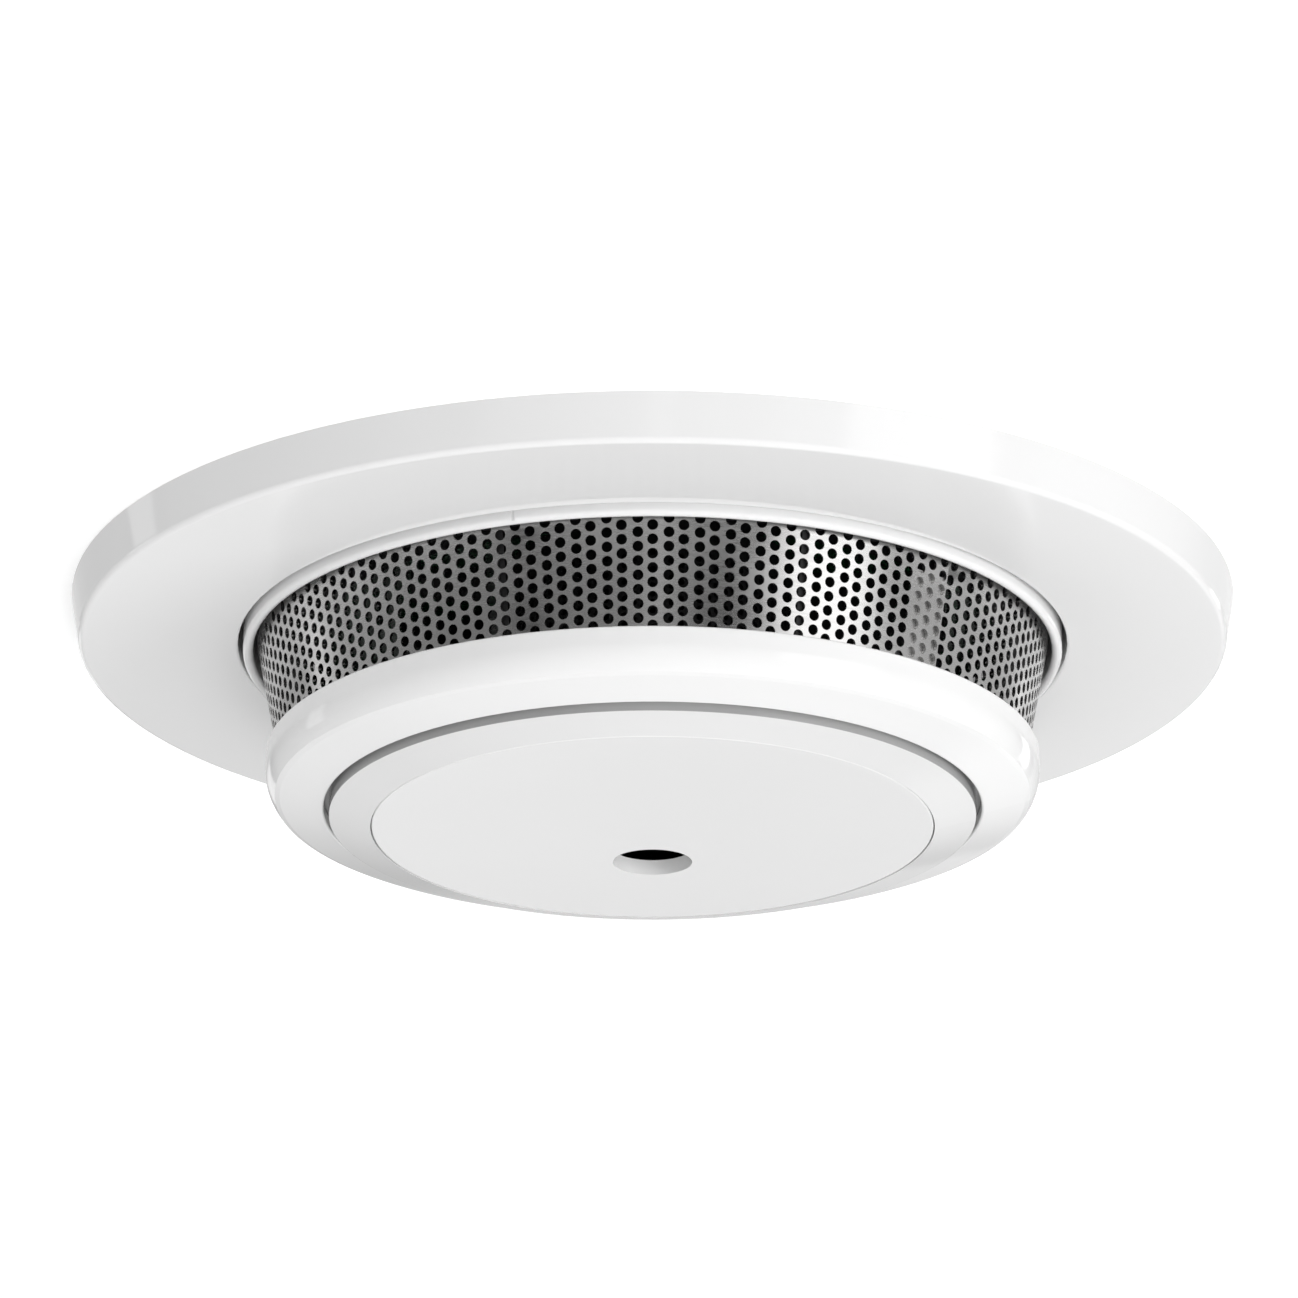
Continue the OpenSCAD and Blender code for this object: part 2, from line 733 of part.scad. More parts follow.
module status_led() {
  rim_r = led_r + led_rim;
  color("red") translate([led_at[0], led_at[1], board_low]) rotate_extrude($fn = small_fn)
    polygon(concat([[0, 0], [rim_r, 0], [rim_r, -1], [led_r, -1]], arc([0, led_r - led_h], led_r, 0, -90)));
}

module controller_chips() {
  color("black") for (chip = chips)
    translate([chip[0], chip[1], board_low - chip_t]) cube([chip[2], chip[3], chip_t]);
}

module capacitors() {
  color("midnightblue") for (can = cans)
    translate([can[0], can[1], 0]) bar(can[2], board_low - can_slender * can[2], can_slender * can[2]);
}

module thermistor() {
  color("darkorange") translate([bead_at[0], bead_at[1], board_low]) {
    for (side = [-1, 1]) translate([side * leg_gap / 2, 0, 0]) bar(leg_r, -leg_l, leg_l);
    translate([0, 0, -leg_l - 1]) sphere(r = bead_r, $fn = small_fn);
  }
}

// ---- cover ----

module cover_cage() {
  ring_in = cage_out_top_r - cage_ring_w;
  skirt_z = grille_top - cage_skirt;
  ring_top = grille_top + cage_ring_t;
  tongue_r = grille_top_r - apart;
  color("black") difference() {
    union() {
      rotate_extrude() polygon([[ring_in, skirt_z], [grille_at(skirt_z) - grille_t - seat, skirt_z],
        [cage_out_top_r, grille_top], [grille_top_r, grille_top], [grille_top_r, ring_top],
        [ring_in, ring_top]]);
      ring(cage_ribs, 180 / cage_ribs) side_plate(cage_rib_t)
        polygon([[cage_out_low_r - cage_rib_w, grille_low - eps], [cage_out_low_r, grille_low - eps],
          [cage_out_top_r, grille_top + eps], [cage_out_top_r - cage_rib_w, grille_top + eps]]);
      translate([0, 0, tray_low]) cylinder(r = tray_r, h = tray_t);
      tube(grille_low_r + seat / 2, cage_out_low_r - cage_rib_w, shoulder_z, grille_low - shoulder_z);
      ring(tongue_count, 45) intersection() {
        tube(tongue_r, tongue_r - tongue_t, grille_top + 1, tongue_top - grille_top - 1);
        translate([0, -tongue_w / 2, grille_top]) cube([cap_r, tongue_w, tongue_top - grille_top]);
      }
    }
    translate([0, outlet_y, tray_low - over]) cylinder(r = outlet_d / 2 + 2.3, h = tray_t + 2 * over);
    ring(guide_count, guide_turn) translate([guide_at, 0, 0])
      bar(guide_r + running, tray_low - over, tray_t + 2 * over);
    translate([rod_at[0], rod_at[1], 0]) bar(rod_r + running, tray_low - over, tray_t + 2 * over);
  }
}

module grille() {
  color("silver") rotate_extrude() polygon([[grille_low_r - grille_t, grille_low], [grille_low_r, grille_low],
    [grille_top_r, grille_top], [grille_top_r - grille_t, grille_top]]);
}

module cap_ring() {
  curve_c = [cap_r - cap_curve_r, -cap_top - cap_straight];
  curve_end = curve_c + cap_curve_r * [cos(cap_curve_angle), -sin(cap_curve_angle)];
  ledge_z = lip_low - apart;
  ledge_r = cap_hole_r + bezel_lip_w + bezel_lip_w / 2;
  wall_r = cap_in_r - cap_wall;
  color("white") rotate_extrude() polygon(concat(
    [[cap_in_r, -cap_top]],
    arc([cap_r - cap_edge_r, -cap_top - cap_edge_r], cap_edge_r, 90, 0, 3),
    arc(curve_c, cap_curve_r, 0, -cap_curve_angle, 10),
    [curve_end + [-0.7, -0.3]],
    arc([cap_hole_r + cap_edge_r, cap_edge_r - cap_low], cap_edge_r, cap_slope - 90, -180, 4),
    [[cap_hole_r, ledge_z], [ledge_r, ledge_z], [wall_r, ledge_z + 1.4], [wall_r + 0.5, shoulder_z],
     [cap_in_r, shoulder_z]]));
}

module button_springs() {
  steps = 12 * spring_turns;
  low = seat_top + spring_wire_r;
  high = tray_low - spring_wire_r;
  color("silver") ring(guide_count, guide_turn) translate([guide_at, 0, 0])
    wire([for (i = [0 : steps]) let (a = 360 * spring_turns * i / steps)
      [spring_r * cos(a), spring_r * sin(a), low + (high - low) * i / steps]], spring_wire_r, [0, 0, 1], 6);
}

// ---- test button ----

module button_bezel() {
  lip_r = cap_hole_r + bezel_lip_w;
  wall_r = button_r - bezel_wall;
  seat_r = disc_r - bezel_seat_w;
  color("white") union() {
    rotate_extrude() polygon([[disc_r, -disc_low], [button_r, -cap_low - bezel_edge], [button_r, lip_low],
      [lip_r, lip_low], [lip_r, lip_top], [wall_r, lip_top], [wall_r, seat_top], [seat_r, seat_top],
      [seat_r, disc_top], [disc_r, disc_top]]);
    ring(guide_count, guide_turn) translate([guide_at, 0, 0])
      bar(guide_r, seat_top - eps, guide_top - seat_top + eps);
  }
}

module button_disc() {
  edge_c = [disc_r - disc_line - disc_edge_r, disc_edge_r - disc_low];
  color("white") difference() {
    rotate_extrude() polygon(concat([[0, disc_top], [0, -disc_low]], arc(edge_c, disc_edge_r, -90, 0, 3),
      [[disc_r - disc_line, disc_top]]));
    translate([0, outlet_y, -disc_low - over]) cylinder(r = outlet_d / 2, h = disc_t + 2 * over);
  }
}

module light_guide() {
  color("azure") translate([rod_at[0], rod_at[1], 0]) bar(rod_r, disc_top, plunger_low - rod_gap - disc_top);
}

trim_flange();
recess_can();
rim_screws();
cable_gland();
clip_brackets();
clip_pins();
for (i = [1 : clip_count]) rotate([0, 0, clip_turn + (i - 1) * 360 / clip_count]) {
  clip_arm();
  clip_spring();
  clip_pad();
}
base_plate();
base_screws();
terminal_block();
terminal_screws();
base_contacts();
chassis();
head_contacts();
circuit_board();
board_screws();
chamber_base();
smoke_labyrinth();
insect_screen();
ir_emitter();
photodiode();
sounder_housing();
piezo_disc();
battery_cradle();
battery_cell();
battery_contacts();
test_switch();
switch_plunger();
status_led();
controller_chips();
capacitors();
thermistor();
cover_cage();
grille();
cap_ring();
button_springs();
button_bezel();
button_disc();
light_guide();
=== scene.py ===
"""Finishes, fine parts, camera and light for a ceiling smoke alarm in a flush-mount trim ring.

Everything is in metres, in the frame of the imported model: the origin is the centre of the trim ring's
ceiling face, and +Z points up into the ceiling. A turn about the axis is measured from the side that
faces the camera, -Y, towards +X.
"""

from __future__ import annotations

import json
import logging
import math
from dataclasses import dataclass
from enum import Enum
from typing import Callable, Sequence

import bpy
import numpy as np
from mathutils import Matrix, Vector


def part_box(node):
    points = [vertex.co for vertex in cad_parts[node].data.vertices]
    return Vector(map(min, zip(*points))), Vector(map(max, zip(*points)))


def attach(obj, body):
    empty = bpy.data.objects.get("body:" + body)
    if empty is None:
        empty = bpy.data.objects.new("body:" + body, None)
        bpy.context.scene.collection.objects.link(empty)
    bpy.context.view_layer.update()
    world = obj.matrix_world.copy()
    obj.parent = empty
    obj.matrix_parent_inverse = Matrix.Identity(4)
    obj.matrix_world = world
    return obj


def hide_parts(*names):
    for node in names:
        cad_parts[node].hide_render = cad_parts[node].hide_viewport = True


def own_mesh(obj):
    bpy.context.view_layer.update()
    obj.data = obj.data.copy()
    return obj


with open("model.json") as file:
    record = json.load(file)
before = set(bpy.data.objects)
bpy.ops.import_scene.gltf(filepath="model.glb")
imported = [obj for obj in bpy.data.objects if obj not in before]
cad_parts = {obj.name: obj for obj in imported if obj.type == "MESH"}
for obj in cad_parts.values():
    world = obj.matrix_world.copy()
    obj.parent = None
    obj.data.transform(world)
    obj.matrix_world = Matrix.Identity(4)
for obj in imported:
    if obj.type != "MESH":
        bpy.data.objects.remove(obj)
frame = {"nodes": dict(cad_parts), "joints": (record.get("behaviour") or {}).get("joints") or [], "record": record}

log = logging.getLogger("smoke_alarm")

MM = 0.001

Colour = tuple[float, float, float]
Socket = bpy.types.NodeSocket


class Pattern(Enum):
    """How a worked metal surface was finished."""

    TUMBLED = "tumbled"
    DRAWN = "drawn"
    SPANGLED = "spangled"


class NodeBench:
    """Builds one node material around a Principled shader, reading Object coordinates."""

    def __init__(self, name: str, colour: Colour, roughness: float, metallic: float = 0.0) -> None:
        """Starts a material.

        Args:
            name: the material's name.
            colour: its plain linear colour.
            roughness: its plain roughness.
            metallic: how metallic it is, 0 to 1.
        """
        self.material = bpy.data.materials.new(name)
        self.material.use_nodes = True
        self.material.diffuse_color = (*colour, 1.0)
        self.tree = self.material.node_tree
        self.shader = self.tree.nodes["Principled BSDF"]
        self.shader.inputs["Base Color"].default_value = (*colour, 1.0)
        self.shader.inputs["Roughness"].default_value = roughness
        self.shader.inputs["Metallic"].default_value = metallic
        self.place = self.tree.nodes.new("ShaderNodeTexCoord").outputs["Object"]

    def set(self, **values: float) -> "NodeBench":
        """Sets the shader's own sockets, named with underscores for spaces, and returns the bench."""
        for key, value in values.items():
            self.shader.inputs[key.replace("_", " ")].default_value = value
        return self

    def link(self, source: Socket, target: Socket) -> None:
        """Joins two sockets."""
        self.tree.links.new(source, target)

    def noise(self, scale: float, detail: float = 3.0, place: Socket | None = None) -> Socket:
        """A noise of that many waves to the metre.

        Args:
            scale: waves to the metre.
            detail: octaves of finer noise.
            place: the coordinates it reads, or the object's own.

        Returns:
            The noise's factor socket.
        """
        node = self.tree.nodes.new("ShaderNodeTexNoise")
        node.inputs["Scale"].default_value = scale
        node.inputs["Detail"].default_value = detail
        self.link(place or self.place, node.inputs["Vector"])
        return node.outputs["Fac"]

    def cells(self, scale: float) -> Socket:
        """Voronoi cells.

        Args:
            scale: cells to the metre.

        Returns:
            The distance to the nearest cell's heart.
        """
        node = self.tree.nodes.new("ShaderNodeTexVoronoi")
        node.inputs["Scale"].default_value = scale
        self.link(self.place, node.inputs["Vector"])
        return node.outputs["Distance"]

    def stretched(self, scale: tuple[float, float, float]) -> Socket:
        """The object's coordinates, scaled along each axis.

        Args:
            scale: the factor along X, Y and Z.

        Returns:
            The scaled coordinates' socket.
        """
        node = self.tree.nodes.new("ShaderNodeMapping")
        node.inputs["Scale"].default_value = scale
        self.link(self.place, node.inputs["Vector"])
        return node.outputs["Vector"]

    def axis(self, name: str) -> Socket:
        """One of the object's coordinates.

        Args:
            name: X, Y or Z.

        Returns:
            That coordinate's socket.
        """
        node = self.tree.nodes.new("ShaderNodeSeparateXYZ")
        self.link(self.place, node.inputs["Vector"])
        return node.outputs[name]

    def math(self, operation: str, a: Socket, b: Socket | float = 0.0) -> Socket:
        """Arithmetic on one or two values.

        Args:
            operation: the Math node's operation.
            a: the first value.
            b: the second value, a socket or a number.

        Returns:
            The result's socket.
        """
        node = self.tree.nodes.new("ShaderNodeMath")
        node.operation = operation
        self.link(a, node.inputs[0])
        if isinstance(b, (int, float)):
            node.inputs[1].default_value = b
        else:
            self.link(b, node.inputs[1])
        return node.outputs["Value"]

    def between(self, value: Socket, low: tuple[float, float], high: tuple[float, float]) -> Socket:
        """Maps a value in a range onto another range, clamped.

        Args:
            value: what is mapped.
            low: where the value starts, and what it then gives.
            high: where the value ends, and what it then gives.

        Returns:
            The mapped value's socket.
        """
        node = self.tree.nodes.new("ShaderNodeMapRange")
        self.link(value, node.inputs["Value"])
        numbers = {"From Min": low[0], "To Min": low[1], "From Max": high[0], "To Max": high[1]}
        for key, number in numbers.items():
            node.inputs[key].default_value = number
        return node.outputs["Result"]

    def ramp(self, value: Socket, stops: Sequence[tuple[float, Colour]], steps: bool = False) -> Socket:
        """Turns a value into a colour.

        Args:
            value: a factor from 0 to 1.
            stops: the colour at each place along the factor.
            steps: True for hard steps between the colours.

        Returns:
            The colour's socket.
        """
        node = self.tree.nodes.new("ShaderNodeValToRGB")
        band = node.color_ramp
        band.interpolation = "CONSTANT" if steps else "LINEAR"
        band.elements[0].position, band.elements[1].position = stops[0][0], stops[-1][0]
        band.elements[0].color, band.elements[1].color = (*stops[0][1], 1.0), (*stops[-1][1], 1.0)
        for at, colour in stops[1:-1]:
            band.elements.new(at).color = (*colour, 1.0)
        self.link(value, node.inputs["Fac"])
        return node.outputs["Color"]

    def mix(self, factor: Socket, a: Socket, b: Socket) -> Socket:
        """Mixes two colours.

        Args:
            factor: the share of the second colour.
            a: the first colour.
            b: the second colour.

        Returns:
            The mixed colour's socket.
        """
        node = self.tree.nodes.new("ShaderNodeMix")
        node.data_type = "RGBA"
        self.link(factor, node.inputs["Factor"])
        self.link(a, node.inputs["A"])
        self.link(b, node.inputs["B"])
        return node.outputs["Result"]

    def paint(self, colour: Socket) -> "NodeBench":
        """Sends a colour to the shader."""
        self.link(colour, self.shader.inputs["Base Color"])
        return self

    def dull(self, roughness: Socket) -> "NodeBench":
        """Sends a roughness to the shader."""
        self.link(roughness, self.shader.inputs["Roughness"])
        return self

    def emboss(self, height: Socket, depth: float, strength: float = 1.0) -> "NodeBench":
        """Bumps the surface by a height, on top of any bump it already has.

        Args:
            height: the height's socket, 0 to 1.
            depth: metres between heights 0 and 1.
            strength: the share of the bump that shows.

        Returns:
            The bench itself.
        """
        node = self.tree.nodes.new("ShaderNodeBump")
        node.inputs["Strength"].default_value = strength
        node.inputs["Distance"].default_value = depth
        self.link(height, node.inputs["Height"])
        normal = self.shader.inputs["Normal"]
        if normal.is_linked:
            self.link(normal.links[0].from_socket, node.inputs["Normal"])
        self.link(node.outputs["Normal"], normal)
        return self


def shade(colour: Colour, by: float) -> Colour:
    """A colour times a number, kept within 0 to 1."""
    return tuple(min(1.0, max(0.0, c * by)) for c in colour)


@dataclass(frozen=True)
class MouldedPlastic:
    """Injection-moulded plastic: faint clouds in the colour, handling smears in the gloss, a fine skin.

    Attributes:
        colour: linear colour.
        roughness: roughness where it is cleanest.
        smear: roughness added where it is handled.
        skin: depth of the mould's fine texture, in metres.
        skin_scale: texture grains to the metre.
        clouds: how far the colour drifts, as a share.
        orange_peel: depth of the slow waves in the surface, in metres.
        groove_shade_r: distance from the axis past which the colour turns to a painted shade, darker, for a wall
            that lies in shade in a groove, or 0 for none.
        groove_shade_colour: linear colour of that painted shade.
        groove_shade_blend: distance over which the painted shade takes over.
    """

    colour: Colour
    roughness: float = 0.25
    smear: float = 0.08
    skin: float = 0.000004
    skin_scale: float = 2600.0
    clouds: float = 0.02
    orange_peel: float = 0.00001
    groove_shade_r: float = 0.0
    groove_shade_colour: Colour = (0.4, 0.4, 0.4)
    groove_shade_blend: float = 0.05 * MM

    def make(self, name: str) -> bpy.types.Material:
        """Builds the material.

        Args:
            name: the material's name.

        Returns:
            The material.
        """
        bench = NodeBench(name, self.colour, self.roughness)
        cloud = bench.noise(28.0, 4.0)
        colour = bench.ramp(cloud, [(0.3, shade(self.colour, 1 - self.clouds)), (0.7, self.colour)])
        # past the given radius from the axis the colour turns darker: painted shade for an outer wall that lies in
        # shade in a groove, not a colour of the plastic
        if self.groove_shade_r:
            squares = [bench.math("POWER", bench.axis(axis), 2.0) for axis in ("X", "Y")]
            inner, outer = self.groove_shade_r**2, (self.groove_shade_r + self.groove_shade_blend)**2
            past = bench.between(bench.math("ADD", *squares), (inner, 0.0), (outer, 1.0))
            groove_shade = bench.ramp(cloud, [(0.3, shade(self.groove_shade_colour, 0.9)), (0.7, self.groove_shade_colour)])
            colour = bench.mix(past, colour, groove_shade)
        bench.paint(colour)
        smears = bench.noise(90.0, 6.0)
        bench.dull(bench.between(smears, (0.42, self.roughness), (0.72, self.roughness + self.smear)))
        bench.emboss(bench.noise(self.skin_scale, 2.0), self.skin)
        bench.emboss(bench.noise(160.0, 1.0), self.orange_peel)
        return bench.set(IOR=1.5).material


@dataclass(frozen=True)
class WorkedMetal:
    """Sheet, wire or turned metal with its working marks, slight tarnish and rubbed gloss.

    Attributes:
        colour: linear colour.
        roughness: roughness where it is brightest.
        pattern: how the surface was worked.
        tarnish: colour where it has dulled.
        depth: depth of the working marks, in metres.
    """

    colour: Colour
    roughness: float = 0.3
    pattern: Pattern = Pattern.TUMBLED
    tarnish: Colour = (0.5, 0.5, 0.5)
    depth: float = 0.00001

    def make(self, name: str) -> bpy.types.Material:
        """Builds the material.

        Args:
            name: the material's name.

        Returns:
            The material.
        """
        bench = NodeBench(name, self.colour, self.roughness, metallic=1.0)
        if self.pattern is Pattern.DRAWN:
            marks = bench.noise(220.0, 4.0, bench.stretched((1.0, 1.0, 14.0)))
        elif self.pattern is Pattern.SPANGLED:
            marks = bench.between(bench.cells(420.0), (0.0, 0.0), (0.9, 1.0))
        else:
            marks = bench.noise(1500.0, 3.0)
        cloud = bench.noise(120.0, 5.0)
        bench.paint(bench.ramp(cloud, [(0.3, self.tarnish), (0.62, self.colour)]))
        blend = bench.math("ADD", bench.math("MULTIPLY", marks, 0.5), bench.math("MULTIPLY", cloud, 0.5))
        bench.dull(bench.between(blend, (0.3, self.roughness), (0.75, self.roughness + 0.16)))
        return bench.emboss(marks, self.depth).material


@dataclass(frozen=True)
class SoftRubber:
    """Moulded rubber: dark, dusty in its clouds, with a pebbled skin.

    Attributes:
        colour: linear colour.
        dust: colour where dust lies on it.
    """

    colour: Colour = (0.028, 0.028, 0.03)
    dust: Colour = (0.075, 0.073, 0.07)

    def make(self, name: str) -> bpy.types.Material:
        """Builds the material.

        Args:
            name: the material's name.

        Returns:
            The material.
        """
        bench = NodeBench(name, self.colour, 0.62)
        bench.paint(bench.ramp(bench.noise(140.0, 6.0), [(0.4, self.colour), (0.8, self.dust)]))
        bench.dull(bench.between(bench.noise(420.0), (0.3, 0.55), (0.7, 0.78)))
        return bench.emboss(bench.noise(2200.0, 3.0), 0.00004).material


@dataclass(frozen=True)
class BoardLacquer:
    """Solder lacquer over copper tracks: lighter, slightly raised lines on a green glass board.

    Attributes:
        colour: linear colour of the lacquer on the board.
        track: its colour over a track.
        spacing: distance between tracks.
    """

    colour: Colour = (0.004, 0.045, 0.016)
    track: Colour = (0.012, 0.1, 0.036)
    spacing: float = 1.27 * MM

    def make(self, name: str) -> bpy.types.Material:
        """Builds the material. Tracks are the bands of two crossing zigzag waves, broken up by a noise.

        Args:
            name: the material's name.

        Returns:
            The material.
        """
        bench = NodeBench(name, self.colour, 0.28)
        tracks = []
        for axis, stretch in (("X", (60.0, 260.0, 0.0)), ("Y", (260.0, 60.0, 0.0))):
            line = bench.math("PINGPONG", bench.axis(axis), self.spacing)
            thin = bench.between(line, (0.28 * MM, 1.0), (0.36 * MM, 0.0))
            patches = bench.noise(1.0, 0.0, bench.stretched(stretch))
            tracks.append(bench.math("MULTIPLY", thin, bench.between(patches, (0.52, 0.0), (0.54, 1.0))))
        copper = bench.math("MAXIMUM", tracks[0], tracks[1])
        bench.paint(bench.ramp(copper, [(0.2, self.colour), (0.8, self.track)]))
        bench.dull(bench.between(bench.noise(300.0, 4.0), (0.35, 0.22), (0.7, 0.36)))
        bench.emboss(copper, 0.00004)
        return bench.emboss(bench.noise(900.0, 2.0), 0.000008).material


@dataclass(frozen=True)
class CellSleeve:
    """A printed sleeve shrunk over a metal cell: bands of colour, with bare ends.

    Attributes:
        half: metres from the cell's middle to the sleeve's edges.
        body: colour of the sleeve.
        band: colour of its narrow band.
        steel: colour of the bare ends.
    """

    half: float
    body: Colour = (0.02, 0.075, 0.3)
    band: Colour = (0.72, 0.74, 0.76)
    steel: Colour = (0.6, 0.6, 0.6)

    def make(self, name: str) -> bpy.types.Material:
        """Builds the material. The bands lie at set shares of the sleeve's length along Y.

        Args:
            name: the material's name.

        Returns:
            The material.
        """
        bench = NodeBench(name, self.body, 0.25)
        along = bench.between(bench.axis("Y"), (-self.half, 0.0), (self.half, 1.0))
        stops = [(0.0, self.steel), (0.015, self.body), (0.2, self.band), (0.24, self.body),
                 (0.93, self.band), (0.985, self.steel)]
        bench.paint(bench.ramp(along, stops, steps=True))
        bare = [(0.0, (1.0,) * 3), (0.015, (0.0,) * 3), (0.985, (1.0,) * 3)]
        bench.link(bench.ramp(along, bare, steps=True), bench.shader.inputs["Metallic"])
        bench.dull(bench.between(bench.noise(240.0, 5.0), (0.35, 0.18), (0.7, 0.34)))
        return bench.emboss(bench.noise(500.0, 3.0), 0.00002).material


@dataclass(frozen=True)
class ClearResin:
    """Cast clear or tinted resin, with faint swirls and a slightly hazy skin.

    Attributes:
        colour: linear colour of the light that comes through.
        transmission: share of the light that comes through.
    """

    colour: Colour = (0.93, 0.96, 0.97)
    transmission: float = 0.9

    def make(self, name: str) -> bpy.types.Material:
        """Builds the material.

        Args:
            name: the material's name.

        Returns:
            The material.
        """
        bench = NodeBench(name, self.colour, 0.08)
        swirl = bench.noise(300.0, 4.0)
        bench.paint(bench.ramp(swirl, [(0.3, shade(self.colour, 0.92)), (0.7, self.colour)]))
        bench.dull(bench.between(swirl, (0.3, 0.05), (0.7, 0.16)))
        bench.set(IOR=1.52, Transmission_Weight=self.transmission)
        return bench.emboss(bench.noise(700.0, 2.0), 0.000006).material


@dataclass(frozen=True)
class PaintedBoard:
    """Flat emulsion on the ceiling, and matt paint on the floor: even, with a faint roller texture.

    Attributes:
        colour: the paint's linear colour.
        glow: light of its own.
        seen_from_below: True if its upper side is clear.
    """

    colour: Colour
    glow: float
    seen_from_below: bool = False

    def make(self, name: str) -> bpy.types.Material:
        """Builds the material. A ceiling is clear from above, where the room's light comes through.

        Args:
            name: the material's name.

        Returns:
            The material.
        """
        bench = NodeBench(name, self.colour, 0.9)
        bench.paint(bench.ramp(bench.noise(12.0), [(0.3, shade(self.colour, 0.995)), (0.7, self.colour)]))
        bench.emboss(bench.noise(500.0, 2.0), 0.00002)
        bench.shader.inputs["Emission Color"].default_value = (1.0, 1.0, 1.0, 1.0)
        bench.set(Emission_Strength=self.glow)
        if self.seen_from_below:
            nodes = bench.tree.nodes
            clear, choose = nodes.new("ShaderNodeBsdfTransparent"), nodes.new("ShaderNodeMixShader")
            bench.link(nodes.new("ShaderNodeNewGeometry").outputs["Backfacing"], choose.inputs[0])
            bench.link(bench.shader.outputs[0], choose.inputs[1])
            bench.link(clear.outputs[0], choose.inputs[2])
            bench.link(choose.outputs[0], nodes["Material Output"].inputs["Surface"])
        return bench.material


@dataclass(frozen=True)
class SweptFloor:
    """Matt floor paint that turns into even white light far from the object, as a swept backdrop does.

    Attributes:
        colour: the paint's linear colour.
        glow: light of its own.
        near: distance from the middle where it starts to turn.
        far: distance where it has turned.
    """

    colour: Colour
    glow: float
    near: float
    far: float

    def make(self, name: str) -> bpy.types.Material:
        """Builds the material.

        Args:
            name: the material's name.

        Returns:
            The material.
        """
        board = PaintedBoard(self.colour, self.glow).make(name)
        nodes, links = board.node_tree.nodes, board.node_tree.links
        place = next(node for node in nodes if node.bl_idname == "ShaderNodeTexCoord").outputs["Object"]
        away, turn = nodes.new("ShaderNodeVectorMath"), nodes.new("ShaderNodeMapRange")
        away.operation = "LENGTH"
        links.new(place, away.inputs[0])
        links.new(away.outputs["Value"], turn.inputs["Value"])
        turn.inputs["From Min"].default_value, turn.inputs["From Max"].default_value = self.near, self.far
        light, blend = nodes.new("ShaderNodeEmission"), nodes.new("ShaderNodeMixShader")
        light.inputs["Color"].default_value = (1.0, 1.0, 1.0, 1.0)
        links.new(turn.outputs["Result"], blend.inputs[0])
        links.new(nodes["Principled BSDF"].outputs[0], blend.inputs[1])
        links.new(light.outputs[0], blend.inputs[2])
        links.new(blend.outputs[0], nodes["Material Output"].inputs["Surface"])
        return board


Finish = MouldedPlastic | WorkedMetal | SoftRubber | BoardLacquer | CellSleeve | ClearResin

WHITE: Colour = (0.865, 0.865, 0.865)
STEEL: Colour = (0.74, 0.735, 0.73)
ZINC: Colour = (0.66, 0.67, 0.69)

FINISHES: dict[str, Finish] = {
    "white_gloss": MouldedPlastic(WHITE, roughness=0.055, smear=0.035, skin=0.0000012, clouds=0.012,
                                  orange_peel=0.000003),
    "grey_plastic": MouldedPlastic((0.5, 0.51, 0.52), roughness=0.42, skin=0.00003, clouds=0.05),
    "white_matte": MouldedPlastic((0.76, 0.76, 0.74), roughness=0.45, skin=0.00002, clouds=0.03),
    "black_plastic": MouldedPlastic((0.012, 0.012, 0.013), roughness=0.45, skin=0.00003, clouds=0.25),
    "zinc_steel": WorkedMetal(ZINC, 0.26, Pattern.SPANGLED, tarnish=(0.5, 0.505, 0.51)),
    "grille_steel": WorkedMetal(STEEL, 0.2, Pattern.DRAWN, tarnish=(0.66, 0.655, 0.65), depth=0.000004),
    "rubber": SoftRubber(),
    "brass": WorkedMetal((0.78, 0.56, 0.24), 0.24, Pattern.TUMBLED, tarnish=(0.52, 0.35, 0.14)),
    "board_green": BoardLacquer(),
    "cell_blue": CellSleeve(half=17.25 * MM),
    "sleeve_blue": MouldedPlastic((0.015, 0.028, 0.09), roughness=0.25, skin=0.00001, clouds=0.2),
    "optic_clear": ClearResin(),
    "optic_dark": ClearResin((0.03, 0.012, 0.045), transmission=0.3),
    "led_red": ClearResin((0.75, 0.03, 0.025), transmission=0.5),
    "switch_orange": MouldedPlastic((0.75, 0.2, 0.04), roughness=0.35, skin=0.00001, clouds=0.06),
    "bead_amber": MouldedPlastic((0.5, 0.2, 0.04), roughness=0.18, clouds=0.15),
}


# the button's bevelled ring is a slightly greyer white than its neighbours, and its outer wall in the groove, past
# the radius given here, is painted darker as shade
NODE_FINISHES: dict[str, Finish] = {
    "button_bezel": MouldedPlastic((0.78, 0.78, 0.78), roughness=0.08, smear=0.03, skin=0.0000012,
                                   clouds=0.012, orange_peel=0.000003, groove_shade_r=45.82 * MM),
}


@dataclass
class FinishShop:
    """Makes each finish once, and dresses the carried-over nodes and the new pieces with it."""

    def __post_init__(self) -> None:
        """Builds every finish."""
        self.made = {slot: finish.make(f"{slot}_finish") for slot, finish in FINISHES.items()}
        self.slots = {row["node"]: row["material_slot"] for row in frame["record"]["subparts"]}

    def dress_nodes(self) -> None:
        """Puts each node's finish into its material slots."""
        for name, node in frame["nodes"].items():
            own = NODE_FINISHES.get(name)
            finish = own.make(f"{name}_finish") if own else self.made[self.slots[name]]
            for place in node.material_slots:
                place.material = finish
            log.info("%s is finished in %s", name, self.slots[name])

    def dress(self, piece: bpy.types.Object, slot: str) -> None:
        """Gives a new piece a finish.

        Args:
            piece: the new piece.
            slot: the slot's name.
        """
        piece.data.materials.clear()
        piece.data.materials.append(self.made[slot])


def points_of(node: str) -> np.ndarray:
    """A carried-over node's points.

    Args:
        node: the node's name.

    Returns:
        The points, one row each.
    """
    mesh = frame["nodes"][node].data
    points = np.zeros(len(mesh.vertices) * 3, np.float32)
    mesh.vertices.foreach_get("co", points)
    return points.reshape(-1, 3)


def joint_named(name: str) -> dict:
    """The joint of that name."""
    return next(joint for joint in frame["joints"] if joint["name"] == name)


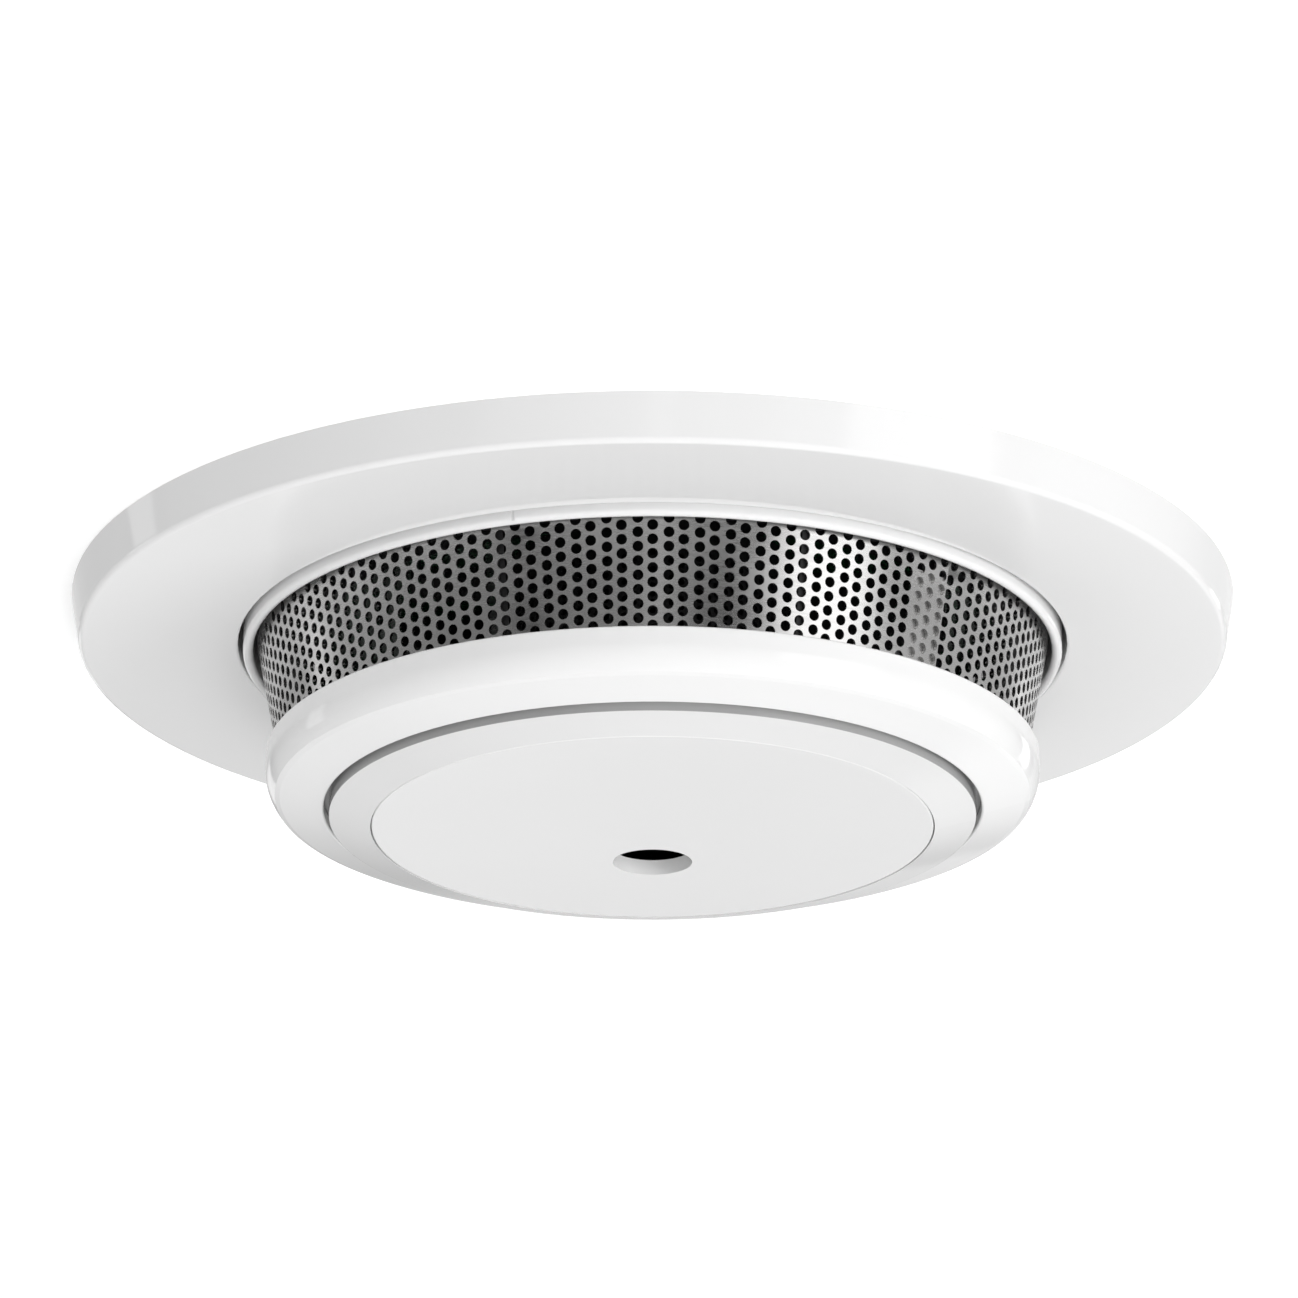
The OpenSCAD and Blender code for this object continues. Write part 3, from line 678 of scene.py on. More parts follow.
def piece_from(name: str, points: np.ndarray, faces: Sequence[Sequence[int]],
               smooth: float) -> bpy.types.Object:
    """Makes a mesh piece at the origin, with its doubles merged.

    Args:
        name: the piece's name.
        points: its points, one row each.
        faces: the point numbers of each face.
        smooth: the angle, in degrees, past which an edge stays sharp.

    Returns:
        The new object, linked to the scene.
    """
    mesh = bpy.data.meshes.new(name)
    mesh.from_pydata(points.tolist(), [], [list(map(int, face)) for face in faces])
    piece = bpy.data.objects.new(name, mesh)
    bpy.context.scene.collection.objects.link(piece)
    weld = piece.modifiers.new("weld", "WELD")
    weld.merge_threshold = 0.002 * MM
    settle(piece, smooth)
    return piece


def settle(piece: bpy.types.Object, smooth: float) -> None:
    """Works a piece's modifiers into its mesh, then marks the edges past an angle as sharp.

    Args:
        piece: the piece.
        smooth: the angle, in degrees.
    """
    graph = bpy.context.evaluated_depsgraph_get()
    graph.update()
    settled = bpy.data.meshes.new_from_object(piece.evaluated_get(graph))
    piece.modifiers.clear()
    piece.data = settled
    settled.polygons.foreach_set("use_smooth", np.ones(len(settled.polygons), bool))
    settled.set_sharp_from_angle(angle=math.radians(smooth))


def profile_of(node: str, low: float, high: float) -> tuple[float, float]:
    """The outer radius of a round node at two heights.

    Args:
        node: the node's name.
        low: the lower height.
        high: the upper height.

    Returns:
        Its widest radius about the axis at each height.
    """
    points = points_of(node)
    radii = np.hypot(points[:, 0], points[:, 1])
    return tuple(float(radii[np.abs(points[:, 2] - z) < 0.05 * MM].max()) for z in (low, high))


@dataclass
class PunchedLattice:
    """Staggered round holes in a sheet, as flat cells in a turn and a height that meet edge to edge.

    A cell is a rectangle with points at its corners and at the middle of its sides, and a ring of points
    round the hole. Eight five-sided faces join the two. Every second column is moved by half a row.

    Attributes:
        first: the turn of the first column's centre, in radians.
        columns: the number of columns.
        step: the turn from a column to the next.
        rows: the number of holes in a long column; a short one has one fewer.
        top: the height of the topmost hole's centre.
        pitch: the distance between rows.
        hole_r: the radius of a hole.
        radius: the radius that turns a hole's width into an angle.
        long_first: True if the first column is a long one.
        nudge: how far every long column's holes sit round from their cells' middles, in radians.
    """

    first: float
    columns: int
    step: float
    rows: int
    top: float
    pitch: float
    hole_r: float
    radius: float
    long_first: bool = True
    nudge: float = 0.0

    corners = np.array([(-1, -1), (0, -1), (1, -1), (1, 0), (1, 1), (0, 1), (-1, 1), (-1, 0)], float)
    ring_points = 16

    def cell_faces(self) -> list[list[int]]:
        """The faces of one cell: each joins a side's half to the ring's three nearest points."""
        count = self.ring_points
        return [[k, (k + 1) % 8, 8 + (2 * k + 2) % count, 8 + 2 * k + 1, 8 + 2 * k] for k in range(8)]

    def build(self) -> tuple[np.ndarray, list[list[int]]]:
        """Works out the lattice.

        Returns:
            The points as (turn, height) rows, and the faces.
        """
        index = np.arange(self.columns)
        is_long = (index % 2 == 0) == self.long_first
        column, row = np.meshgrid(index, np.arange(self.rows), indexing="ij")
        keep = is_long[column] | (row < self.rows - 1)
        column, row = column[keep], row[keep]
        turn = self.first + column * self.step
        height = self.top - self.pitch * (row + np.where(is_long[column], 0.0, 0.5))
        half = np.array([self.step / 2, self.pitch / 2])
        centres = np.stack([turn, height], -1)
        outline = centres[:, None] + self.corners * half
        angles = math.radians(-135) + np.arange(self.ring_points) * math.tau / self.ring_points
        circle = np.stack([np.cos(angles) / self.radius, np.sin(angles)], -1) * self.hole_r
        shift = np.where(is_long[column], self.nudge, 0.0)[:, None, None] * np.array([1.0, 0.0])
        rings = centres[:, None] + circle + shift
        points = np.concatenate([outline, rings], 1).reshape(-1, 2)
        size = 8 + self.ring_points
        starts = np.arange(len(centres)) * size
        faces = (starts[:, None, None] + np.array(self.cell_faces())).reshape(-1, 5).tolist()
        plugs = self.plugs(index[~is_long])
        for plug in plugs:
            faces.append(list(range(len(points), len(points) + len(plug))))
            points = np.concatenate([points, plug])
        return points, faces

    def plugs(self, short: np.ndarray) -> list[np.ndarray]:
        """The plain half cells above and below the holes of the short columns.

        Args:
            short: the short columns' numbers.

        Returns:
            Each half cell's points as (turn, height) rows.
        """
        x, y = self.step / 2, self.pitch / 2
        shape = np.array([(-x, -y / 2), (0, -y / 2), (x, -y / 2), (x, y / 2), (0, y / 2), (-x, y / 2)])
        turns = self.first + short * self.step
        upper = self.top + self.pitch / 4
        lower = self.top - self.pitch * (self.rows - 1) - self.pitch / 4
        return [shape + np.array([turn, level]) for turn in turns for level in (upper, lower)]


@dataclass
class SteelBand:
    """The punched stainless band round the cage: one strip, wrapped once and lapped at its seam.

    Attributes:
        sheet: thickness of the strip.
        step: turn from a column of holes to the next, in degrees.
        columns: number of columns.
        last: the column whose number gives the strip's outer end, counted from the near side.
        pitch: distance between rows.
        rows: number of holes in a long column.
        first_row: distance from the band's top to the topmost holes.
        hole_r: radius of a hole.
        nudge: how far the long columns' holes sit round from the middle, in degrees.
        tab: length of the plain tab that is tucked under, in degrees.
        tab_rows: how many half rows the tab's top is below the first cells' top.
        tuck: how far the tucked part is pressed in.
        ramp: turn in which the tucked part comes out again, in degrees.
        free_edge: distance from the band's top where the tuck is still nothing.
        free_ramp: height over which the tuck then becomes whole.
    """

    sheet: float = 0.5 * MM
    step: float = 2.182
    columns: int = 165
    last: int = 21
    pitch: float = 1.942 * MM
    rows: int = 9
    first_row: float = 1.692 * MM
    hole_r: float = 0.74 * MM
    nudge: float = 0.1
    tab: float = 6.3
    tab_rows: int = 3
    tuck: float = 0.55 * MM
    ramp: float = 9.0
    free_edge: float = 1.6 * MM
    free_ramp: float = 2.0 * MM

    def build(self) -> bpy.types.Object:
        """Builds the band.

        A point's radius is the cone's radius at its height, less the tuck, which is whole under the lap
        and eases to nothing past it, and is nothing near the top edge. The easing of a share t is
        3 t squared less 2 t cubed.

        Returns:
            The band, riding on the cover.
        """
        low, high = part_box("grille")
        foot_r, top_r = profile_of("grille", low.z, high.z)
        step = math.radians(self.step)
        first = (self.last - self.columns + 1) * step
        lattice = PunchedLattice(first, self.columns, step, self.rows, high.z - self.first_row, self.pitch,
                                 self.hole_r, (foot_r + top_r) / 2, nudge=math.radians(self.nudge))
        points, faces = lattice.build()
        cells_top = lattice.top + self.pitch / 2
        start = first - step / 2
        margin = self.grid(np.linspace(start, start + self.columns * step, 2 * self.columns + 1),
                           np.array([cells_top, high.z]))
        levels = cells_top - self.pitch / 2 * np.arange(self.tab_rows, 2 * self.rows + 1)[::-1]
        tab = self.grid(np.linspace(start - math.radians(self.tab), start, 7), levels)
        for more, quads in (margin, tab):
            faces += (quads + len(points)).tolist()
            points = np.concatenate([points, more])
        turn, height = points.T
        height = np.maximum(height, low.z)
        cone = foot_r + (top_r - foot_r) * (height - low.z) / (high.z - low.z)
        out = np.clip((turn - start) / math.radians(self.ramp), 0, 1)
        free = np.clip((high.z - self.free_edge - height) / self.free_ramp, 0, 1)
        radius = cone - self.tuck * (1 - out * out * (3 - 2 * out)) * free * free * (3 - 2 * free)
        xyz = np.stack([radius * np.sin(turn), -radius * np.cos(turn), height], -1)
        band = piece_from("perforated_band", xyz, faces, 30)
        wall = band.modifiers.new("wall", "SOLIDIFY")
        wall.thickness, wall.offset, wall.use_even_offset = self.sheet, -1.0, True
        settle(band, 30)
        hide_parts("grille")
        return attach(band, "cover")

    @staticmethod
    def grid(turns: np.ndarray, heights: np.ndarray) -> tuple[np.ndarray, np.ndarray]:
        """A plain grid of quads.

        Args:
            turns: the grid's turns.
            heights: its heights, from the lowest.

        Returns:
            The points as (turn, height) rows, and the quads.
        """
        points = np.stack(np.meshgrid(turns, heights, indexing="ij"), -1).reshape(-1, 2)
        return points, quads_of(len(turns), len(heights))


def quads_of(rows: int, columns: int, closed: bool = False) -> np.ndarray:
    """The quads of a grid of points in rows and columns.

    Args:
        rows: the number of rows of points.
        columns: the number of points in a row.
        closed: True if each row's end joins its start.

    Returns:
        Four point numbers for each quad.
    """
    span = columns if closed else columns - 1
    i, j = np.meshgrid(np.arange(rows - 1), np.arange(span), indexing="ij")
    after = (j + 1) % columns
    corners = [i * columns + j, (i + 1) * columns + j, (i + 1) * columns + after, i * columns + after]
    return np.stack(corners, -1).reshape(-1, 4)


@dataclass
class InsectScreen:
    """The fine etched screen round the smoke chamber.

    Attributes:
        columns: number of columns of holes, an even number.
        rows: number of holes in a long column.
        margin: plain edge above and below the holes.
        fill: a hole's radius as a share of the smaller half pitch.
        sheet: thickness of the screen.
    """

    columns: int = 96
    rows: int = 11
    margin: float = 0.7 * MM
    fill: float = 0.74
    sheet: float = 0.2 * MM

    def build(self) -> bpy.types.Object:
        """Builds the screen as a closed tube of punched cells with plain edges.

        Returns:
            The screen, riding on the head.
        """
        low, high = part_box("insect_screen")
        centre, radius = (low + high) / 2, (high.x - low.x) / 2
        step = math.tau / self.columns
        pitch = (high.z - low.z - 2 * self.margin) / self.rows
        top = high.z - self.margin - pitch / 2
        lattice = PunchedLattice(0.0, self.columns, step, self.rows, top, pitch,
                                 self.fill * min(pitch, step * radius) / 2, radius)
        points, faces = lattice.build()
        turns = -step / 2 + np.arange(2 * self.columns + 1) * step / 2
        for levels in ((low.z, top + pitch / 2 - self.rows * pitch), (top + pitch / 2, high.z)):
            more, quads = SteelBand.grid(turns, np.array(levels))
            faces += (quads + len(points)).tolist()
            points = np.concatenate([points, more])
        turn, height = points.T
        xyz = np.stack([centre.x + radius * np.sin(turn), centre.y - radius * np.cos(turn), height], -1)
        screen = piece_from("chamber_screen", xyz, faces, 30)
        wall = screen.modifiers.new("wall", "SOLIDIFY")
        wall.thickness, wall.offset = self.sheet, -1.0
        settle(screen, 30)
        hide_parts("insect_screen")
        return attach(screen, "head")


def wire_along(path: np.ndarray, radius: float, sides: int) -> tuple[np.ndarray, list[list[int]]]:
    """A round wire along a path, closed at both ends.

    Each section is a circle square to the path's direction there. Its first axis is carried along the
    path: the one before, less its part along the new direction.

    Args:
        path: the points of the wire's middle.
        radius: the wire's radius.
        sides: points in each section.

    Returns:
        The wire's points and faces.
    """
    direction = np.gradient(path, axis=0)
    direction /= np.linalg.norm(direction, axis=1, keepdims=True)
    first = np.zeros_like(path)
    axis = np.cross(direction[0], (0.31, 0.17, 0.93))
    for i, along in enumerate(direction):
        axis = axis - along * (axis @ along)
        axis = axis / np.linalg.norm(axis)
        first[i] = axis
    second = np.cross(direction, first)
    angles = np.arange(sides) * math.tau / sides
    section = np.cos(angles)[:, None] * first[:, None] + np.sin(angles)[:, None] * second[:, None]
    points = (path[:, None] + radius * section).reshape(-1, 3)
    faces = quads_of(len(path), sides, closed=True)[:, ::-1].tolist()
    faces += [list(range(sides))[::-1], list(range(len(points) - sides, len(points)))]
    return points, faces


@dataclass
class ClipSprings:
    """The torsion springs that hold the ceiling clips out: a short leg, a coil round the pin, a long leg.

    Attributes:
        wire_r: radius of the wire.
        leave: the angle at which the long leg leaves the coil, in degrees.
        turns: number of whole turns.
        sides: points round the wire.
        short_leg: the short leg's length, as a share of the coil's radius.
    """

    wire_r: float = 0.4 * MM
    leave: float = 55.0
    turns: int = 4
    sides: int = 12
    short_leg: float = 0.6

    def build(self, number: int) -> bpy.types.Object:
        """Builds one spring.

        The coil's middle is the pin's middle, and its radius comes from the spring's own box. A point at
        angle a is that radius round the middle, moved along the pin in proportion to the angle turned.

        Args:
            number: the clip's number, from 1.

        Returns:
            The spring, riding on the part that it is fixed to.
        """
        joint = joint_named(f"clip_{number}_fold")
        pivot = np.array(joint["pos_m"], float)
        out = np.array([pivot[0], pivot[1], 0.0]) / math.hypot(pivot[0], pivot[1])
        up = np.array([0.0, 0.0, 1.0])
        side = np.cross(up, out)
        node = f"clip_spring_{number}"
        local = points_of(node) - pivot
        coil_r = float(-(local @ out).min()) - self.wire_r
        reach = float((local @ out).max())
        span = float(np.ptp(local @ side)) - 2 * self.wire_r
        swept = math.radians(360 * self.turns + 180 - self.leave)
        turned = np.linspace(0.0, swept, 24 * self.turns + 13)
        angle = math.pi - turned
        coil = (coil_r * np.cos(angle)[:, None] * out + coil_r * np.sin(angle)[:, None] * up
                + (span * turned / swept - span / 2)[:, None] * side)
        sin, cos = math.sin(math.radians(self.leave)), math.cos(math.radians(self.leave))
        leg = (reach - self.wire_r * cos - coil_r * cos) / sin
        long_leg = coil[-1] + np.linspace(0.0, leg, 7)[1:, None] * (out * sin - up * cos)
        short_leg = coil[0] - up * coil_r * self.short_leg * np.linspace(1.0, 0.0, 4)[:-1, None]
        path = np.concatenate([short_leg, coil, long_leg]) + pivot
        xyz, faces = wire_along(path, self.wire_r, self.sides)
        spring = piece_from(f"clip_torsion_spring_{number}", xyz, faces, 60)
        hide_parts(node)
        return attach(spring, f"clip_{number}")


@dataclass
class ButtonSprings:
    """The small coil springs that push the test button down.

    Attributes:
        wire_r: radius of the wire.
        coil_r: radius of the coil.
        turns: number of turns.
        sides: points round the wire.
        count: number of springs, spread evenly round the axis.
    """

    wire_r: float = 0.25 * MM
    coil_r: float = 2.2 * MM
    turns: int = 3
    sides: int = 12
    count: int = 3

    def build(self) -> bpy.types.Object:
        """Builds all the springs as one piece.

        A point of a spring's path is the coil's radius round the spring's middle, at the angle turned, and
        rises in proportion to that angle.

        Returns:
            The springs, riding on the cover.
        """
        low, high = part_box("button_springs")
        at = high.y - self.coil_r - self.wire_r
        turned = np.linspace(0.0, math.tau * self.turns, 30 * self.turns + 1)
        share = turned / turned[-1]
        rise = low.z + self.wire_r + (high.z - low.z - 2 * self.wire_r) * share
        points, faces = np.zeros((0, 3)), []
        for number in range(self.count):
            turn = (0.25 + number / self.count) * math.tau
            centre = np.array([math.cos(turn), math.sin(turn)]) * at
            path = np.stack([centre[0] + self.coil_r * np.cos(turned + turn),
                             centre[1] + self.coil_r * np.sin(turned + turn), rise], -1)
            more, ends = wire_along(path, self.wire_r, self.sides)
            faces += [[k + len(points) for k in face] for face in ends]
            points = np.concatenate([points, more])
        springs = piece_from("button_coil_springs", points, faces, 60)
        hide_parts("button_springs")
        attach(springs, "cover")
        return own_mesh(springs)


def chip_box(centre: Sequence[float], size: Sequence[float],
             bevel: float) -> tuple[np.ndarray, list[list[int]]]:
    """A small block with sloped edges: four sections of a rectangle with cut corners, face to face.

    Args:
        centre: the block's middle.
        size: its width, depth and height.
        bevel: how much its edges are cut back.

    Returns:
        The block's points and faces.
    """
    half = np.array(size, float) / 2
    levels = np.array([-half[2], -half[2] + bevel, half[2] - bevel, half[2]])
    shrink = np.array([bevel, 0.0, 0.0, bevel])
    signs = np.array([(-1, -1), (1, -1), (1, 1), (-1, 1)], float)
    ring = np.repeat(signs, 2, axis=0)
    cut = np.array([(0, 1), (1, 0), (-1, 0), (0, 1), (0, -1), (-1, 0), (1, 0), (0, -1)], float) * bevel
    outline = ring[None] * (half[:2] - shrink[:, None, None]) + cut[None]
    points = np.concatenate([outline, np.broadcast_to(levels[:, None, None], (4, 8, 1))], -1).reshape(-1, 3)
    faces = quads_of(4, 8, closed=True)[:, ::-1].tolist() + [list(range(8))[::-1], list(range(24, 32))]
    return points + np.array(centre), faces


@dataclass
class BoardParts:
    """The small parts on the room side of the circuit board: chips' legs, resistors and their ends.

    Attributes:
        leg: width, length and thickness of a chip's leg.
        leg_pitch: distance between legs.
        leg_tuck: how far a leg reaches under its chip.
        part: width, depth and height of a resistor's body.
        part_pitch: distance between resistors in a row.
        cap: length of a resistor's metal end.
        edge: how much a resistor's edges are cut back.
        cap_edge: how much the edges of an end or a leg are cut back.
    """

    leg: tuple[float, float, float] = (0.35 * MM, 1.5 * MM, 0.22 * MM)
    leg_pitch: float = 1.0 * MM
    leg_tuck: float = 0.2 * MM
    part: tuple[float, float, float] = (1.1 * MM, 0.8 * MM, 0.5 * MM)
    part_pitch: float = 2.6 * MM
    cap: float = 0.34 * MM
    edge: float = 0.05 * MM
    cap_edge: float = 0.04 * MM

    def rows(self) -> list[tuple[float, float, int, float]]:
        """The rows of small parts, placed by shares of the board's radius.

        Returns:
            Each row's middle, number of parts and turn in degrees.
        """
        low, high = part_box("circuit_board")
        r = (high.x - low.x) / 2
        return [(-0.74 * r, -0.12 * r, 5, 90), (-0.2 * r, 0.66 * r, 4, 0), (0.2 * r, 0.52 * r, 3, 0),
                (-0.62 * r, -0.62 * r, 4, 0), (0.56 * r, -0.6 * r, 4, 90), (-0.3 * r, -0.05 * r, 3, 90),
                (0.34 * r, -0.82 * r, 3, 0), (0.02 * r, 0.84 * r, 4, 0), (-0.74 * r, 0.3 * r, 3, 90)]

    def join(self, name: str, blocks: list[tuple[np.ndarray, list[list[int]]]]) -> bpy.types.Object:
        """Joins several blocks into one piece.

        Args:
            name: the piece's name.
            blocks: each block's points and faces.

        Returns:
            The piece, riding on the head.
        """
        starts = np.cumsum([0] + [len(points) for points, _ in blocks])
        faces = [[k + int(start) for k in face] for (_, own), start in zip(blocks, starts) for face in own]
        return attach(piece_from(name, np.concatenate([p for p, _ in blocks]), faces, 30), "head")

    def build(self) -> dict[str, bpy.types.Object]:
        """Builds the bodies, the metal ends and the legs.

        Returns:
            Each piece by the slot that it is finished in.
        """
        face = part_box("circuit_board")[0].z
        bodies, ends = [], []
        w, d, h = self.part
        for x, y, count, turn in self.rows():
            c, s = math.cos(math.radians(turn)), math.sin(math.radians(turn))
            upright = turn == 0
            size = (d, w, h) if upright else (w, d, h)
            cap = (d * 1.04, self.cap, h * 1.06) if upright else (self.cap, d * 1.04, h * 1.06)
            for i in range(count):
                along = (i - (count - 1) / 2) * self.part_pitch
                cx, cy = x + along * c, y + along * s
                bodies.append(chip_box((cx, cy, face - h / 2), size, self.edge))
                for end in (-w / 2, w / 2):
                    at = (cx, cy + end) if upright else (cx + end, cy)
                    ends.append(chip_box((*at, face - cap[2] / 2), cap, self.cap_edge))
        ends += self.legs(face)
        return {"black_plastic": self.join("board_resistors", bodies),
                "zinc_steel": self.join("board_solder_ends", ends)}

    def legs(self, face: float) -> list[tuple[np.ndarray, list[list[int]]]]:
        """The legs along two sides of each chip, found from the chips' own points.

        Args:
            face: height of the board's room side.

        Returns:
            Each leg's points and faces.
        """
        points = points_of("controller_chips")
        reach = self.leg[1] / 2 - self.leg_tuck
        legs = []
        for mine in (points[points[:, 1] < 0], points[points[:, 1] > 0]):
            low, high = mine.min(0), mine.max(0)
            count = int((high[0] - low[0] - 2 * self.leg_tuck) / self.leg_pitch)
            for i in range(count):
                x = (low[0] + high[0]) / 2 + (i - (count - 1) / 2) * self.leg_pitch
                for y in (low[1] - reach, high[1] + reach):
                    legs.append(chip_box((x, y, face - self.leg[2] / 2), self.leg, self.cap_edge))
        return legs


@dataclass
class Stage:
    """The ceiling that the alarm hangs on, the floor under it, the lights, the flags and the camera.

    Attributes:
        ceiling_half: half the ceiling's width.
        floor_half: half the floor's width.
        floor_z: the floor's height.
        eye: the camera's place.
        tilt: how far the camera looks up, in degrees.
        lens: focal length for a 36 mm sensor.
        reach: distance from the axis to the mirrored panels.
    """

    ceiling_half: float = 4.0
    floor_half: float = 60.0
    floor_z: float = -1.8
    eye: tuple[float, float, float] = (-0.0005, -1.02, -0.380)
    tilt: float = 20.127
    lens: float = 210.7
    reach: float = 0.9

    def camera(self) -> None:
        """Sets the camera up below the ceiling, looking up at the near side."""
        data = bpy.data.cameras.new("camera")
        data.sensor_width, data.lens = 36.0, self.lens
        data.clip_start, data.clip_end = 0.01, 100.0
        camera = bpy.data.objects.new("camera", data)
        camera.location = self.eye
        camera.rotation_euler = (math.radians(90 + self.tilt), 0.0, 0.0)
        bpy.context.scene.collection.objects.link(camera)
        bpy.context.scene.camera = camera

    def sheet(self, name: str, half: float, z: float, up: bool) -> bpy.types.Object:
        """A flat square.

        Args:
            name: its name.
            half: half its width.
            z: its height.
            up: True if it faces up, False if down.

        Returns:
            The square.
        """
        x = np.array([-half, half, half, -half])
        y = np.array([-half, -half, half, half])
        mesh = bpy.data.meshes.new(name)
        face = [0, 1, 2, 3] if up else [3, 2, 1, 0]
        mesh.from_pydata(np.stack([x, y, np.full(4, z)], -1).tolist(), [], [face])
        sheet = bpy.data.objects.new(name, mesh)
        bpy.context.scene.collection.objects.link(sheet)
        return sheet

    def surfaces(self) -> None:
        """Makes the ceiling and the floor."""
        ceiling = self.sheet("ceiling", self.ceiling_half, 0.0, up=False)
        emulsion = PaintedBoard((0.93, 0.93, 0.93), 0.22, seen_from_below=True)
        ceiling.data.materials.append(emulsion.make("ceiling_paint"))
        ceiling.visible_glossy = ceiling.visible_diffuse = False
        floor = self.sheet("floor", self.floor_half, self.floor_z, up=True)
        floor.data.materials.append(SweptFloor((0.82, 0.82, 0.82), 0.3, 4.0, 12.0).make("floor_paint"))
        floor.visible_glossy = floor.visible_diffuse = False

    def area(self, name: str, spot: tuple[float, float, float], aim: tuple[float, float, float],
             size: tuple[float, float], power: float) -> None:
        """A soft box.

        Args:
            name: the light's name.
            spot: where it stands.
            aim: the point it faces.
            size: its width and height.
            power: its power in watts.
        """
        data = bpy.data.lights.new(name, "AREA")
        data.shape, data.size, data.size_y, data.energy = "RECTANGLE", size[0], size[1], power
        light = bpy.data.objects.new(name, data)
        light.location = spot
        light.rotation_euler = (Vector(aim) - Vector(spot)).to_track_quat("-Z", "Y").to_euler()
        light.visible_camera = light.visible_glossy = False
        bpy.context.scene.collection.objects.link(light)

    def panel(self, name: str, turn: float, width: float, low: float, high: float, brightness: float,
              soft: float = 0.12) -> None:
        """An upright curved panel that only mirrors see: a black flag, or a lit one, clear at its edges.

        It is an arc of a cylinder round the axis, from one height to another. Its share is the product of
        a smooth step in from each edge.

        Args:
            name: the panel's name.
            turn: the turn of its middle, in degrees.
            width: the turn that it covers, in degrees.
            low: its lower edge.
            high: its upper edge.
            brightness: how bright it is, 0 for a black flag.
            soft: the share of its width and height over which each edge clears.
        """
        across, up = np.linspace(0, 1, 33), np.linspace(0, 1, 17)
        grid = np.stack(np.meshgrid(across, up, indexing="ij"), -1).reshape(-1, 2)
        turns, heights = np.radians(turn + width * (grid[:, 0] - 0.5)), low + (high - low) * grid[:, 1]
        points = np.stack([self.reach * np.sin(turns), -self.reach * np.cos(turns), heights], -1)
        mesh = bpy.data.meshes.new(name)
        mesh.from_pydata(points.tolist(), [], quads_of(len(across), len(up)).tolist())
        edge = np.clip(np.minimum(grid, 1 - grid) / soft, 0, 1)
        fade = np.prod(edge * edge * (3 - 2 * edge), axis=1)
        mesh.attributes.new("fade", "FLOAT", "POINT").data.foreach_set("value", fade.astype(np.float32))
        material = bpy.data.materials.new(f"{name}_cloth")
        material.use_nodes = True
        nodes, links = material.node_tree.nodes, material.node_tree.links
        glow, clear = nodes.new("ShaderNodeEmission"), nodes.new("ShaderNodeBsdfTransparent")
        share, mixed = nodes.new("ShaderNodeAttribute"), nodes.new("ShaderNodeMixShader")
        share.attribute_name = "fade"
        glow.inputs["Color"].default_value = (1.0, 1.0, 1.0, 1.0)
        glow.inputs["Strength"].default_value = brightness
        links.new(share.outputs["Fac"], mixed.inputs[0])
        links.new(clear.outputs[0], mixed.inputs[1])
        links.new(glow.outputs[0], mixed.inputs[2])
        links.new(mixed.outputs[0], nodes["Material Output"].inputs["Surface"])
        mesh.materials.append(material)
        panel = bpy.data.objects.new(name, mesh)
        bpy.context.scene.collection.objects.link(panel)
        for ray in ("camera", "diffuse", "shadow", "transmission", "volume_scatter"):
            setattr(panel, f"visible_{ray}", False)

    def mirrored(self) -> None:
        """Sets the panels that the steel band mirrors."""
        self.panel("flag_left", -35.0, 8.0, -0.2, 0.22, 0.0)
        self.panel("flag_right", 19.0, 11.0, -0.2, 0.22, 0.04)
        self.panel("strip_near", 1.5, 5.0, -0.2, 0.22, 0.75)
        self.panel("box_right", 50.0, 33.0, -0.2, 0.22, 1.7)
        self.panel("grey_right", 101.0, 60.0, -0.14, 0.22, 0.5)
        self.panel("strip_side", 138.0, 8.0, -0.14, 0.22, 2.0)
        self.panel("grey_far", 166.0, 44.0, -0.1, 0.22, 0.6)
        self.panel("grey_left", -93.0, 22.0, -0.14, 0.22, 0.36)
        self.panel("strip_back_left", -112.0, 10.0, -0.14, 0.22, 1.2)
        self.panel("grey_back_left", -132.0, 26.0, -0.14, 0.22, 0.34)
        self.panel("strip_far_left", -156.0, 14.0, -0.14, 0.22, 1.1)
        self.panel("upper_right", 115.0, 200.0, 0.14, 0.9, 1.0, 0.25)
        self.panel("upper_left", -130.0, 170.0, 0.14, 0.9, 0.8, 0.25)
        self.panel("far_right", 158.0, 46.0, -0.7, -0.08, 0.85, 0.4)
        self.panel("far_left", -160.0, 60.0, -0.7, -0.08, 0.5, 0.4)

